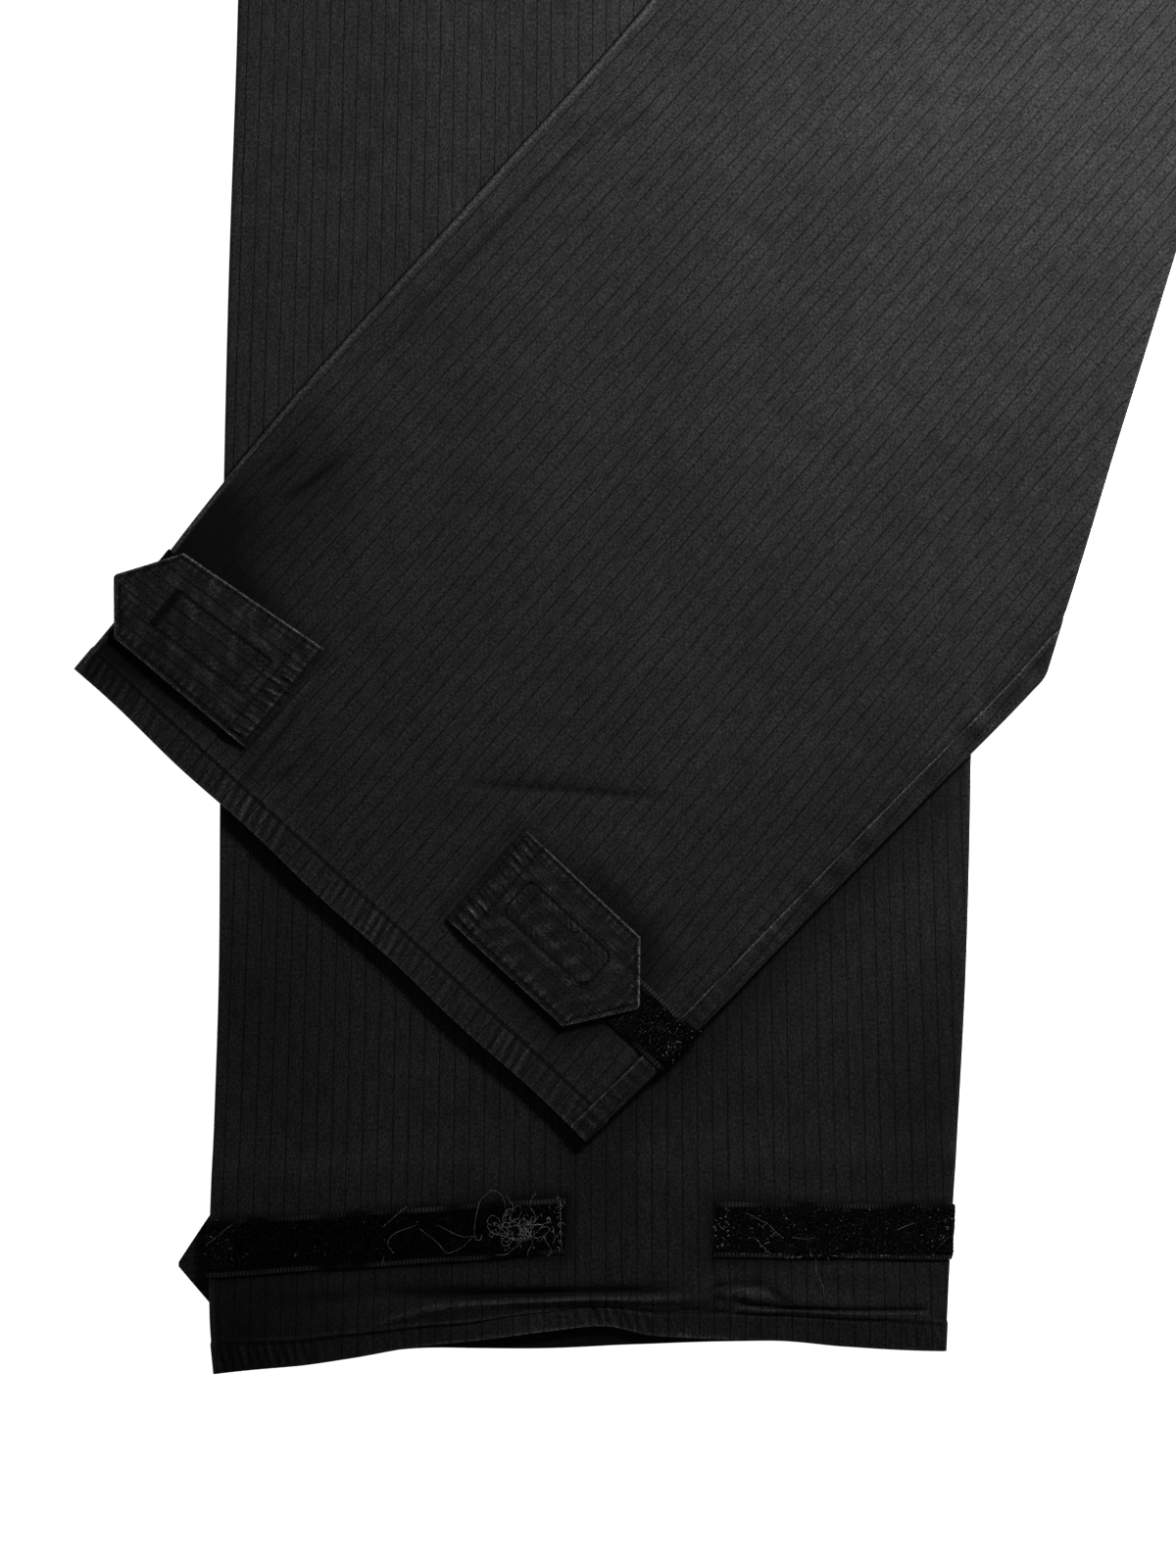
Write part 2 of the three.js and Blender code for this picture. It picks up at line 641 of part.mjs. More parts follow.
// Loop tape: from behind the tab's tip, round the side of the leg and along its front
function makeTape(spec) {
  const leg = LEGS[spec.leg];
  const backStops = [QUARTER_TURN + spec.back];
  if (spec.edge === 'inner') {
    const pastFell = QUARTER_TURN + FELL_WIDTH + TAPE_CLEARANCE;
    backStops.push(pastFell + TAPE_CLEARANCE, pastFell);
  }
  const ways = backStops.map((stop) => -stop);
  for (let i = -TAPE_TURN_STEPS; i <= TAPE_TURN_STEPS; i++) {
    ways.push(QUARTER_TURN * i / TAPE_TURN_STEPS);
  }
  const frontSteps = Math.round(spec.front / TAPE_STEP);
  for (let i = 1; i <= frontSteps; i++) {
    ways.push(QUARTER_TURN + spec.front * i / frontSteps);
  }
  const grid = (outerSkin) => ways.map((way) => {
    const out = SEAM_GAP + overFell(spec, way) + (outerSkin ? FASTENER_WALL : 0);
    const { inward, height } = roundEdge(way, out);
    const reach = way > 0 ? way / spec.front : -way / spec.back;
    const middle = lerp(spec.upEdge, way > 0 ? spec.upFront : spec.upBack, clamp01(reach));
    return HALF_WIDTHS.map(
      (share) => legPoint(leg, middle + share * TAPE_WIDTH, spec.edge, inward, height),
    );
  });
  const wall = settle(leg, wallBetween(grid(true), grid(false)));
  return toMesh(`${spec.leg}_loop_${spec.edge}`, wall, TAPE_COLOUR, TAPE_ROUGHNESS);
}

// Rows of the waistband, bottom and top
const BAND_LEVELS = [WAIST_SEAM + SEAM_GAP, (WAIST_SEAM + WAIST_TOP) / 2, WAIST_TOP];

// Front band of one leg, from its side seam to the centre or on over the other one
function bandRow(leg, side, up, outerSkin, lap) {
  const out = outerSkin ? (side > 0 ? BAND_RAISE : 0) : -WALL;
  const height = EDGE_RADIUS + side * (EDGE_RADIUS + out);
  const width = legWidth(leg, up);
  const seam = atSeam(side, out);
  const half = roundEdge(side * QUARTER_TURN / 2, out);
  const row = [
    legPoint(leg, up, 'outer', seam.inward, seam.height),
    legPoint(leg, up, 'outer', half.inward, half.height),
  ];
  const end = width - (lap > 0 ? LAP_RISE_START : SEAM_GAP / 2);
  for (let i = 0; i <= BAND_STEPS; i++) {
    row.push(legPoint(leg, up, 'outer', lerp(EDGE_RADIUS, end, i / BAND_STEPS), height));
  }
  if (lap > 0) {
    [-LAP_RISE_END, lap / 2, lap].forEach((past) => {
      row.push(legPoint(leg, up, 'outer', width + past, height + LAP_RISE));
    });
  }
  return row;
}

function makeFrontBand(legName, lap) {
  const grid = (outerSkin) => BAND_LEVELS.map((up) => bandRow(LEGS[legName], 1, up, outerSkin, lap));
  const wall = wallBetween(grid(true), grid(false));
  const lying = { points: wall.points.map(layFlat), faces: wall.faces };
  return toMesh(`waistband_front_${legName}`, lying, CLOTH_COLOUR, CLOTH_ROUGHNESS);
}

function makeBackBand() {
  const grid = (outerSkin) => BAND_LEVELS.map((up) => {
    const rightRow = bandRow(LEGS.right, -1, up, outerSkin, 0).slice(0, -1);
    const leftRow = bandRow(LEGS.left, -1, up, outerSkin, 0).slice(0, -1).reverse();
    return [...rightRow, ...leftRow];
  });
  const wall = wallBetween(grid(true), grid(false));
  const lying = { points: wall.points.map(layFlat), faces: wall.faces };
  return toMesh('waistband_back', lying, CLOTH_COLOUR, CLOTH_ROUGHNESS);
}

// Button on the lap of the left front band, with a raised rim
function makeButton() {
  const middle = planPoint(LEGS.left, (WAIST_SEAM + WAIST_TOP) / 2, 'inner', BUTTON_INSET - LAP_LENGTH);
  const base = TUBE_HEIGHT + BAND_RAISE + LAP_RISE + SEAM_GAP;
  const rings = [
    { radius: BUTTON_RADIUS - BUTTON_EDGE, height: base },
    { radius: BUTTON_RADIUS, height: base + BUTTON_EDGE },
    { radius: BUTTON_RADIUS, height: base + BUTTON_WALL - BUTTON_EDGE },
    { radius: BUTTON_RADIUS - BUTTON_EDGE, height: base + BUTTON_WALL },
    { radius: BUTTON_RADIUS - BUTTON_RIM, height: base + BUTTON_WALL },
    { radius: BUTTON_RADIUS - BUTTON_RIM - BUTTON_EDGE, height: base + BUTTON_WALL - BUTTON_EDGE },
  ];
  const points = [[middle.x, middle.y, base]];
  for (const { radius, height } of rings) {
    for (let i = 0; i < BUTTON_SIDES; i++) {
      const angle = 2 * Math.PI * i / BUTTON_SIDES;
      points.push([middle.x + radius * Math.cos(angle), middle.y + radius * Math.sin(angle), height]);
    }
  }
  const last = rings.length - 1;
  points.push([middle.x, middle.y, rings[last].height]);
  const at = (ring, i) => 1 + ring * BUTTON_SIDES + (i % BUTTON_SIDES);
  const faces = [];
  for (let i = 0; i < BUTTON_SIDES; i++) {
    faces.push([0, at(0, i + 1), at(0, i)]);
    faces.push([points.length - 1, at(last, i), at(last, i + 1)]);
    for (let ring = 0; ring < last; ring++) {
      faces.push([at(ring, i), at(ring, i + 1), at(ring + 1, i + 1)]);
      faces.push([at(ring, i), at(ring + 1, i + 1), at(ring + 1, i)]);
    }
  }
  return toMesh('button', { points, faces }, BUTTON_COLOUR, BUTTON_ROUGHNESS);
}

const trousers = new THREE.Group();
trousers.name = 'wide_leg_trousers';
for (const legName of ['right', 'left']) {
  trousers.add(makePanel(legName, 1));
  trousers.add(makePanel(legName, -1));
}
trousers.add(makeBackBand());
trousers.add(makeFrontBand('right', 0));
trousers.add(makeFrontBand('left', LAP_LENGTH));
trousers.add(makeButton());
TABS.forEach((spec) => trousers.add(makeTab(spec), makeHook(spec)));
TAPES.forEach((spec) => trousers.add(makeTape(spec)));

// Stand the whole on the origin
const box = new THREE.Box3().setFromObject(trousers);
const middle = box.getCenter(new THREE.Vector3());
for (const mesh of trousers.children) {
  mesh.geometry.translate(-middle.x, -middle.y, -box.min.z);
}

export default trousers;
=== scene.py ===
"""Wide-leg trousers lying flat, the left leg folded across the right one."""
import math
import bmesh
import bpy
import numpy as np
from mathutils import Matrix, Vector


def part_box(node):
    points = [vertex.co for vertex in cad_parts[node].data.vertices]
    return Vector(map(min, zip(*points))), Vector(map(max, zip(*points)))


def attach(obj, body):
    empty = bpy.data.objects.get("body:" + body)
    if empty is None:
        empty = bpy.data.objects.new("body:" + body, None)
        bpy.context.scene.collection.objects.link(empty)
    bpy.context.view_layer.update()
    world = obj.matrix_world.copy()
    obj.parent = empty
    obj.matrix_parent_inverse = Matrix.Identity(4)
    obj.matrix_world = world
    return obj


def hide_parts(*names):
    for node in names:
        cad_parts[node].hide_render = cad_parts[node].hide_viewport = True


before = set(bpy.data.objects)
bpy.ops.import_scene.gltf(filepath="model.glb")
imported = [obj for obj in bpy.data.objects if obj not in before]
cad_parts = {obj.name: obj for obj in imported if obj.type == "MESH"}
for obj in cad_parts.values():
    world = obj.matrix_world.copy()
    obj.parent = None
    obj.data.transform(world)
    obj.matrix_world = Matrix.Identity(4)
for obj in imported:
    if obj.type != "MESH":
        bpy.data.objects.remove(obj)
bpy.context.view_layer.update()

# Sizes of the garment in millimetres, drawn from the crotch
WALL = 0.9
SEAM_GAP = 0.3
TUBE = 3.6
EDGE_RADIUS = TUBE / 2
QUARTER_TURN = math.pi * EDGE_RADIUS / 2
EDGE_START = 0.18
FELL_WIDTH = 8.6
FELL_RAISE = 0.4
INSEAM = 715.0
FELL_FADE = 15.0
WAIST_SEAM = 1005.0
WAIST_TOP = 1045.0
BAND_RAISE = 0.6
LAP = 28.0
LAP_RISE = 2.1
BUTTON_FROM_LAP = 13.0
HEM_DEPTH = 13.0
HEM_RAISE = 0.5
HEM_RISE_FADE = 34.0
FOLD_EDGE = (46.9, -378.0)
FOLD_LEAN = math.radians(16.99)
FOLD_NEUTRAL = 2.0
FOLD_AXIS = TUBE + SEAM_GAP / 2
FOLD_ARC = math.pi * FOLD_NEUTRAL
FOLD_ALONG = (math.sin(FOLD_LEAN), math.cos(FOLD_LEAN))
FOLD_ACROSS = (FOLD_ALONG[1], -FOLD_ALONG[0])
DROP_HEIGHT = TUBE + SEAM_GAP
STITCH_PITCH = 2.3
STRIPE_PITCH = 6.7
TWILL_PITCH = 0.95
# How fast a crease falls off beside its line, and the widest that counts as sharp
CREASE_FALL = 1.4
SHARP_CREASE = 5.0

# Sections: up the inseam from the hem, then the outer and inner edge
RIGHT_SECTIONS = np.array([
    (0, -345, -730, -9, -719), (24, -347, -704, -8, -695), (62, -347, -664, -6, -657),
    (115, -345, -610, -2.5, -603), (178, -343, -546, 0.6, -540), (259, -342.4, -462, 2.6, -459),
    (366, -341.2, -352, 3.2, -351), (482, -338.7, -236, 2, -234), (590, -335, -129, 2, -126),
    (652, -333, -70, 1, -63), (715, -328.5, -14, 0, 0), (756, -319, 32, -4, 40),
    (842, -297, 117, -11, 126), (928, -270, 194, -18, 212), (1005, -242, 268, -25, 289),
    (1045, -244, 308, -29, 329)], float)
LEFT_SECTIONS = np.array([
    (0, 408, -656, 92, -704), (40, 404, -616, 83.5, -664), (90, 400.5, -566, 74, -615),
    (150, 395.5, -507, 63.3, -556), (220, 386, -438, 50.5, -487), (300, 374.5, -358, 36.3, -409),
    (380, 363, -279, 29.5, -330), (470, 354, -190, 22, -241), (560, 347, -101, 14, -152),
    (640, 342, -28, 7, -74), (715, 333.5, 24, 0, 0), (756, 316.5, 76, -4, 40),
    (842, 281, 152, -11, 126), (928, 237, 236, -18, 212), (1005, 190, 310, -25, 289),
    (1045, 186, 350, -29, 329)], float)

# How far the straight leg's hem is drawn up: share across, back wall, front wall
HEM_RISE = np.array([
    (0, 0, 0), (0.11, 2, 2), (0.18, 5, 5), (0.26, 7.8, 8.2), (0.36, 7, 10.5), (0.46, 6.8, 14.5),
    (0.54, 6.5, 15.3), (0.6, 6.4, 10.5), (0.7, 7.4, 8.6), (0.78, 6.4, 6.6), (0.86, 2.8, 2.8),
    (1, 0, 0)], float)

# Lifts off the layer below: share across, then up the leg
RIGHT_LIFT = dict(
    height=3.15,
    across=np.array([(0, 1), (0.34, 1), (0.42, 0.15), (0.52, 0.15), (0.58, 1), (1, 1)], float),
    up=np.array([(0, 0.15), (18, 1), (88, 1), (97, 0.35), (106, 0)], float))
LEFT_LIFT = dict(
    height=1.6,
    across=np.array([(0, 1), (1, 1)], float),
    up=np.array([(0, 0.3), (33, 1), (88, 1), (135, 0)], float))
DROP = np.array([(-384, 1), (-374, 0.8), (-359, 0.2), (-349, 0)], float)

# Stitch lines of the hems: mm in from the outer edge, mm above the hem
HEM_STITCH = {
    ("right", 1): [(0, 12.6), (38, 10.9), (59, 10.9), (82, 9.7), (98, 10.3), (120, 10.1), (136, 12.0),
                   (156, 11.9), (166, 14.1), (188, 15.8), (222, 19.0), (236, 17.0), (246, 14.2),
                   (281, 14.3), (308, 13.4), (336, 12.1)],
    ("left", -1): [(0, 12.0), (100, 12.4), (200, 13.0), (318, 13.2)],
    ("right", -1): [(0, 12.5), (336, 12.5)],
    ("left", 1): [(0, 12.5), (318, 12.5)],
}

# Creases and soft folds: path (mm in from the outer edge, mm above the hem), height, half width, faded ends
RIGHT_FRONT_CREASES = [
    ([(34, 22), (92, 25), (168, 26), (245, 27), (302, 18), (332, 16)], 1.7, 7.5, 0.25),
    ([(70, 36), (88, 32.8), (120, 31.1), (149, 29.7), (169, 30.7), (190, 30.6), (214, 31.2), (232, 31)],
     -1.9, 2.9, 0.28),
    ([(100, 31.6), (130, 31), (156, 30.4), (172, 31)], -1.2, 3.0, 0.3),
    ([(63, 14), (78, 15.7), (98, 22.7), (115, 25), (138, 25.5), (163, 25.2), (196, 25.5), (231, 25.5)],
     1.1, 2.8, 0.15),
    ([(150, 22.5), (190, 23.5), (229, 23.5)], -0.35, 1.0, 0.2),
    ([(238, 23.1), (252, 20.6), (268, 18.5), (299, 18.9), (333, 18.8)], -1.3, 1.5, 0.08),
    ([(238, 18.7), (268, 16.1), (333, 16.9)], 0.8, 1.6, 0.08),
    ([(228, 30.1), (234, 32.5), (240, 33.2), (251, 33), (257, 31.1), (261, 27.2), (267, 21.8)],
     -1.2, 1.7, 0.1),
    ([(235, 27.8), (244, 28.6), (252, 27.9), (259, 24.3)], 0.9, 4.0, 0.25),
    ([(238, 24.7), (230, 28.5)], -1.0, 1.1, 0.3),
    ([(238, 24.7), (229, 24.0)], -1.0, 1.1, 0.3),
    ([(238, 24.7), (246, 29.5)], -1.0, 1.1, 0.3),
    ([(238, 24.7), (248, 23.6)], -1.0, 1.1, 0.3),
    ([(176, 15), (176.5, 2)], -0.7, 1.3, 0.2),
    ([(20, 30), (60, 31), (90, 35)], -0.5, 3.5, 0.4),
    ([(262, 38), (300, 36), (326, 30)], 0.5, 5, 0.4),
    ([(182, 98), (220, 106), (262, 100)], 0.5, 14, 0.5),
    ([(250, 150), (262, 220), (258, 300)], 0.5, 16, 0.5),
    ([(40, 130), (48, 230), (44, 360)], 0.5, 20, 0.5),
    ([(120, 860), (150, 800), (205, 760), (250, 730)], 0.9, 16, 0.5),
]
LEFT_BACK_CREASES = [
    ([(164, 80), (175, 85), (190, 96), (212, 113), (227, 124), (242, 135), (256, 146)], -1.3, 1.7, 0.25),
    ([(164, 88), (188, 106), (212, 124), (242, 148)], 0.9, 9, 0.4),
    ([(91, 62), (92, 45), (92.5, 28), (93, 8)], -0.9, 1.7, 0.25),
    ([(88, 80), (88.5, 50), (89, 22)], 0.5, 2.0, 0.2),
    ([(24, 116), (31, 136), (35, 156), (36, 170)], -0.9, 2.2, 0.4),
    ([(12, 120), (16, 138), (17, 150)], -0.6, 2.0, 0.4),
    ([(4, 300), (8, 330), (21, 366)], -0.35, 3.5, 0.5),
    ([(15, 170), (16, 230), (17, 300), (22, 361), (33, 420)], -0.7, 2.4, 0.4),
    ([(27, 340), (33, 372)], -0.9, 1.6, 0.4),
    ([(60, 92), (95, 120), (120, 170)], 0.8, 15, 0.5),
    ([(250, 60), (262, 120), (266, 200)], 0.7, 14, 0.5),
    ([(120, 40), (140, 88), (150, 150), (150, 240)], 0.8, 18, 0.5),
    ([(100, 16), (108, 34), (104, 60)], -0.4, 4, 0.4),
    ([(236, 96), (252, 92), (272, 96)], -0.5, 3, 0.4),
    ([(90, 300), (120, 420), (150, 560)], 0.7, 26, 0.5),
    ([(230, 260), (240, 380), (250, 520)], 0.6, 24, 0.5),
]
LEFT_FRONT_CREASES = [
    ([(110, 120), (140, 240), (150, 380)], 0.6, 22, 0.5),
    ([(30, 960), (90, 930), (150, 915)], 0.9, 14, 0.5),
]
RIGHT_BACK_CREASES = [
    ([(100, 200), (120, 380), (160, 560)], -0.25, 22, 0.5),
]

LEGS = {
    "right": dict(sections=RIGHT_SECTIONS, rise=HEM_RISE, lift=RIGHT_LIFT, folded=False,
                  creases={1: RIGHT_FRONT_CREASES, -1: RIGHT_BACK_CREASES}),
    "left": dict(sections=LEFT_SECTIONS, rise=None, lift=LEFT_LIFT, folded=True,
                 creases={1: LEFT_FRONT_CREASES, -1: LEFT_BACK_CREASES}),
}
# Places of the tabs: base in from the side edge, height above the hem, turn in degrees
TABS = [
    dict(leg="right", edge="outer", base=83.4, up=58.6, turn=-5.4),
    dict(leg="right", edge="inner", base=116.0, up=56.0, turn=1.0),
    dict(leg="left", edge="outer", base=84.8, up=55.6, turn=-5.4),
    dict(leg="left", edge="inner", base=120.2, up=58.5, turn=-0.5),
]
# Reach of the tapes past the side edge on the back and front, and their height above the hem
TAPES = [
    dict(leg="right", edge="outer", back=12.0, front=161.4, up_back=55.0, up_edge=54.0, up_front=60.8),
    dict(leg="right", edge="inner", back=42.0, front=107.0, up_back=57.0, up_edge=54.5, up_front=58.0),
    dict(leg="left", edge="outer", back=12.0, front=161.4, up_back=57.0, up_edge=57.5, up_front=60.0),
    dict(leg="left", edge="inner", back=42.0, front=107.0, up_back=58.5, up_edge=58.5, up_front=59.0),
]
# Tabs: widths at the base and shoulder, distances up to the shoulder and tip, sideways shifts
TAB_SHAPES = {
    "outer": dict(base=57.6, wide=49.8, shoulder=79.6, tip=98.0, tip_aside=-2.1, slant=0.12, box_aside=0.0),
    "inner": dict(base=54.7, wide=54.3, shoulder=72.5, tip=92.8, tip_aside=2.8, slant=0.08, box_aside=2.0),
}
TAB_TIP_WIDTH = 2.0
TAB_WALL = 1.5
FASTENER_WALL = 1.0
TAPE_WIDTH = 25.0
TAB_STACK = SEAM_GAP + FASTENER_WALL + SEAM_GAP
TIP_SLOPE = 0.59
HOOK = dict(start=17.0, end=68.0, width=19.0)
BOX_START = 17.0
BOX_HALF = 9.8
BOX_END = {"outer": 71.0, "inner": 68.5}
BOX_CORNER = {"outer": 0.8, "inner": 4.0}
# Stitch rows of a tab: in from its rim, two rows near the base and one inside the box
RIM_ROW = 2.2
BASE_ROWS = (2.6, 12.0)
BOX_ROW = 24.0
# Stitch rows of the felled inseam, in from the side edge
FELL_ROWS = (2.0, 7.2)
# Rows at the base, along the sides and at the tip, then columns at each rim and between the rims
TAB_GRID = {"left": (30, 124, 32, 12, 88), "right": (16, 44, 16, 8, 34)}
# Radii of thread, pile and lint in metres
THREAD_RADIUS = 0.00020
TAB_THREAD_RADIUS = 0.00021
PILE_RADIUS = 0.00006
PILE_COUNT = {"right": 2600, "left": 700}
LINT_RADIUS = 0.000045
FINE_LINT_RADIUS = 0.00004
FRAY_RADIUS = 0.00003
# Seeds of each leg's unevenness
SEEDS = {"right": 11, "left": 23}
# Grain of each leg: lean in degrees, middle line, narrowing up the leg and the level it starts from
GRAIN = {"right": (0.0, -165.0, 1.97e-4, 400.0), "left": (7.0, 165.0, 1.67e-4, 500.0)}
BAND_LEAN = math.radians(5.3)

# The folded leg's hem and inseam edge over the straight leg, in layout millimetres, along which its painted
# shadow falls on the straight leg
FLAP_EDGE = [(-409.5, -409.5), (-177.8, -623.3), (40.5, -391.5)]
# Painted shade patches on the cloth: mm in from the outer edge and above the hem, radii, strength
PAINTED_SHADE_PATCHES = {
    ("left", -1): [(18, 112, 44, 44, 0.4), (4, 92, 26, 20, 0.75), (8, 12, 20, 20, 0.6),
                   (36, 146, 20, 26, 0.2)],
    ("right", 1): [(8, 14, 44, 44, 0.7), (18, 160, 38, 42, 0.3), (328, 100, 22, 40, 0.35),
                   (318, 160, 50, 60, 0.14), (90, 40, 60, 14, 0.25), (140, 68, 66, 20, 0.3),
                   (150, 28, 80, 12, 0.15)],
}
# Thread ends that stand up from a tab's box stitch: millimetres along the tab and aside
LOOSE_ENDS = {
    ("left", "inner"): [[(50.5, 10.2), (53.0, 8.6), (55.5, 9.4), (58.2, 7.4)],
                        [(44.0, 10.6), (47.2, 9.0), (49.4, 10.4)],
                        [(66.5, -7.5), (64.0, -8.8), (61.0, -8.0), (58.5, -9.6)],
                        [(67.8, -3.5), (65.2, -5.6), (66.0, -8.2)]],
    ("left", "outer"): [[(18.5, 9.0), (21.5, 7.6), (23.0, 9.2)]],
}
BUTTON_PROFILE = [(0, 0), (7.7, 0), (8.3, 0.3), (8.5, 0.9), (8.5, 2.1), (8.3, 2.7), (7.7, 3.0), (7.0, 3.0),
                  (6.5, 2.8), (6.0, 2.3), (5.0, 2.15), (0, 2.1)]
BUTTON_SIDES = 48

# Hairs on the straight leg's tapes: millimetres along the tape and aside
OUTER_HAIRS = [
    [(122.7, -1.4), (122.9, 3.8), (123.5, 7.9), (124.8, 13.1), (127.4, 16.2), (130.3, 18.0), (133.0, 17.0),
     (135.2, 14.8), (136.6, 10.6), (137.3, 5.3), (136.2, 2.8)],
    [(105.2, 4.6), (115.6, -1.0), (122.8, -2.0)],
    [(96.9, 3.7), (102.3, -0.5), (106.6, -4.5), (110.3, -8.5), (114.5, -7.6), (118.0, -5.8), (121.6, -2.5)],
    [(96.5, 6.6), (95.0, 4.6), (88.5, 2.7), (84.3, 0.1), (83.2, -3.1), (86.0, -7.3)],
    [(91.8, 13.6), (87.1, 10.1), (80.6, 4.6)],
    [(150.5, 15.7), (148.8, 13.4), (147.7, 10.5)],
    [(11.3, 10.1), (3.9, 4.7), (0.2, 0.9)],
    [(81.3, -8.2), (80.7, -12.7)],
    [(161.5, 12.0), (162.3, 0.5), (163.0, -11.0)],
]
INNER_HAIRS = [
    [(96.8, 8.2), (85.7, 2.7), (82.2, -0.5), (77.8, -3.7)],
    [(74.6, -2.9), (68.7, -3.6), (63.8, -3.2)],
    [(92.1, -3.1), (85.0, -9.6), (83.3, -10.4)],
    [(62.8, -12.6), (62.3, -18.4), (60.2, -22.5), (58.8, -25.8), (58.3, -30.7)],
    [(27.4, 0.1), (23.3, 2.2), (18.0, 3.9)],
]

# View from straight above: middle in layout millimetres, height of the frame in metres
VIEW_MIDDLE = (-173.25, -459.0)
VIEW_HIGH = 0.72
FILM = 36
LENS = 120
FOCUS_HEIGHT = 0.004
# Soft lamp past the frame's top right, in metres from the middle of the view
KEY_ASIDE = (0.34, 0.48)
KEY_HEIGHT = 0.45
KEY_LEAN = 0.01
KEY_SIZE = 0.26
KEY_POWER = 14.6
ROOM_LIGHT = 0.18


def node_name(spec, part):
    return f"{spec['leg']}_{part}_{spec['edge']}"


def of_leg(specs, leg_name):
    return [spec for spec in specs if spec["leg"] == leg_name]


def lerp(a, b, t):
    return a + (b - a) * t


def step01(t):
    """Smooth step from 0 to 1."""
    t = np.clip(t, 0, 1)
    return t * t * (3 - 2 * t)


def turned(x, y, angle):
    """The two distances in axes turned by an angle."""
    return x * math.cos(angle) + y * math.sin(angle), y * math.cos(angle) - x * math.sin(angle)


def wave(x, length, phase=0.0):
    return np.sin(2 * math.pi * x / length + phase)


def stacked(*parts):
    """Coordinates brought to one shape and joined as the last axis."""
    return np.stack(np.broadcast_arrays(*parts), -1)


def bell(x, middle, half):
    """Smooth bump, 1 at its middle."""
    return np.exp(-((x - middle) / half) ** 2)


def curve(table, at, column):
    """Smooth curve through a table's rows, running straight on past the ends."""
    at = np.asarray(at, float)
    keys = table[:, 0]
    last = len(keys) - 1
    i = np.clip(np.searchsorted(keys, at, side="left"), 1, last)
    k0, k1 = keys[i - 1], keys[i]
    v0, v1 = table[i - 1, column], table[i, column]
    before = np.maximum(i - 2, 0)
    after = np.minimum(i + 1, last)
    span = k1 - k0
    t = (at - k0) / span
    m0 = (v1 - table[before, column]) / (k1 - keys[before]) * span
    m1 = (table[after, column] - v0) / (keys[after] - k0) * span
    smooth = ((2 * t ** 3 - 3 * t ** 2 + 1) * v0 + (t ** 3 - 2 * t ** 2 + t) * m0
              + (3 * t ** 2 - 2 * t ** 3) * v1 + (t ** 3 - t ** 2) * m1)
    return np.where((t < 0) | (t > 1), lerp(v0, v1, t), smooth)


def plan(leg, up, inward, edge="outer"):
    """Layout x and y, share across and leg width for heights above the hem and distances in from an edge."""
    s = leg["sections"]
    ox, oy, ix, iy = (curve(s, up, c) for c in (1, 2, 3, 4))
    width = np.hypot(ix - ox, iy - oy)
    share = inward / width if edge == "outer" else 1 - inward / width
    return lerp(ox, ix, share), lerp(oy, iy, share), share, width


def button_layout():
    """Layout place of the waist button, in from the lap's end at half the waistband's height."""
    x, y, _, _ = plan(LEGS["left"], (WAIST_SEAM + WAIST_TOP) / 2, BUTTON_FROM_LAP - LAP, "inner")
    return float(x), float(y)


def crotch_place():
    """Where the crotch lies in the row frame, from the button's place."""
    low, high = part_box("button")
    x, y = button_layout()
    return (low[0] + high[0]) * 500 - x, (low[1] + high[1]) * 500 - y


CROTCH = crotch_place()


def lift_at(leg, share, up):
    """How far the cloth lies up on its turned hem and on the tabs beneath it."""
    over_hem = HEM_RAISE * np.clip((30 - up) / 15, 0, 1)
    lift = leg["lift"]
    part = np.interp(share, lift["across"][:, 0], lift["across"][:, 1]) * np.interp(
        up, lift["up"][:, 0], lift["up"][:, 1])
    return over_hem + lift["height"] * part


def round_edge(way, out):
    """Distance in from a side edge and height, for a signed way round it (positive on the front)."""
    way, out = np.broadcast_arrays(np.asarray(way, float), np.asarray(out, float))
    radius = EDGE_RADIUS + out
    angle = np.clip(way / EDGE_RADIUS, -math.pi / 2, math.pi / 2)
    beyond = np.maximum(np.abs(way) - QUARTER_TURN, 0)
    inward = np.where(beyond > 0, EDGE_RADIUS + beyond, EDGE_RADIUS - radius * np.cos(angle))
    height = EDGE_RADIUS + radius * np.sin(angle)
    return inward, height


def path_distance(path, x, y):
    """Nearest distance to a polyline, and the share along it there."""
    path = np.array(path, float)
    lengths = np.hypot(*np.diff(path, axis=0).T)
    starts = np.concatenate([[0], np.cumsum(lengths)])
    best = np.full(np.shape(x), 1e9)
    where = np.zeros(np.shape(x))
    for k in range(len(path) - 1):
        a, b = path[k], path[k + 1]
        t = np.clip(((x - a[0]) * (b[0] - a[0]) + (y - a[1]) * (b[1] - a[1])) / lengths[k] ** 2, 0, 1)
        d = np.hypot(x - lerp(a[0], b[0], t), y - lerp(a[1], b[1], t))
        nearer = d < best
        best = np.where(nearer, d, best)
        where = np.where(nearer, (starts[k] + t * lengths[k]) / starts[-1], where)
    return best, where


def creases_at(creases, inward, up):
    total = np.zeros(np.shape(inward))
    for path, height, half, ends in creases:
        d, where = path_distance(path, inward, up)
        fade = np.clip(np.minimum(where, 1 - where) / ends + 0.02, 0, 1)
        total += height * step01(fade) * np.exp(-CREASE_FALL * (d / half) ** 2)
    return total


def ripples(inward, up, seed):
    """Low soft unevenness of the lying cloth."""
    rng = np.random.default_rng(seed)
    total = np.zeros(np.shape(inward))
    for _ in range(10):
        angle = rng.uniform(-0.5, 0.5)
        length = rng.uniform(45, 130)
        phase = rng.uniform(0, 2 * math.pi)
        along = rng.uniform(150, 420)
        across, _ = turned(inward, up, angle)
        total += 0.09 * wave(across, length, phase) * wave(up, along, phase * 1.7)
    return total


def hem_line(leg_name, side, inward):
    """Height of the hem's stitch line."""
    line = np.array(HEM_STITCH[leg_name, side], float)
    return np.interp(inward, line[:, 0], line[:, 1])


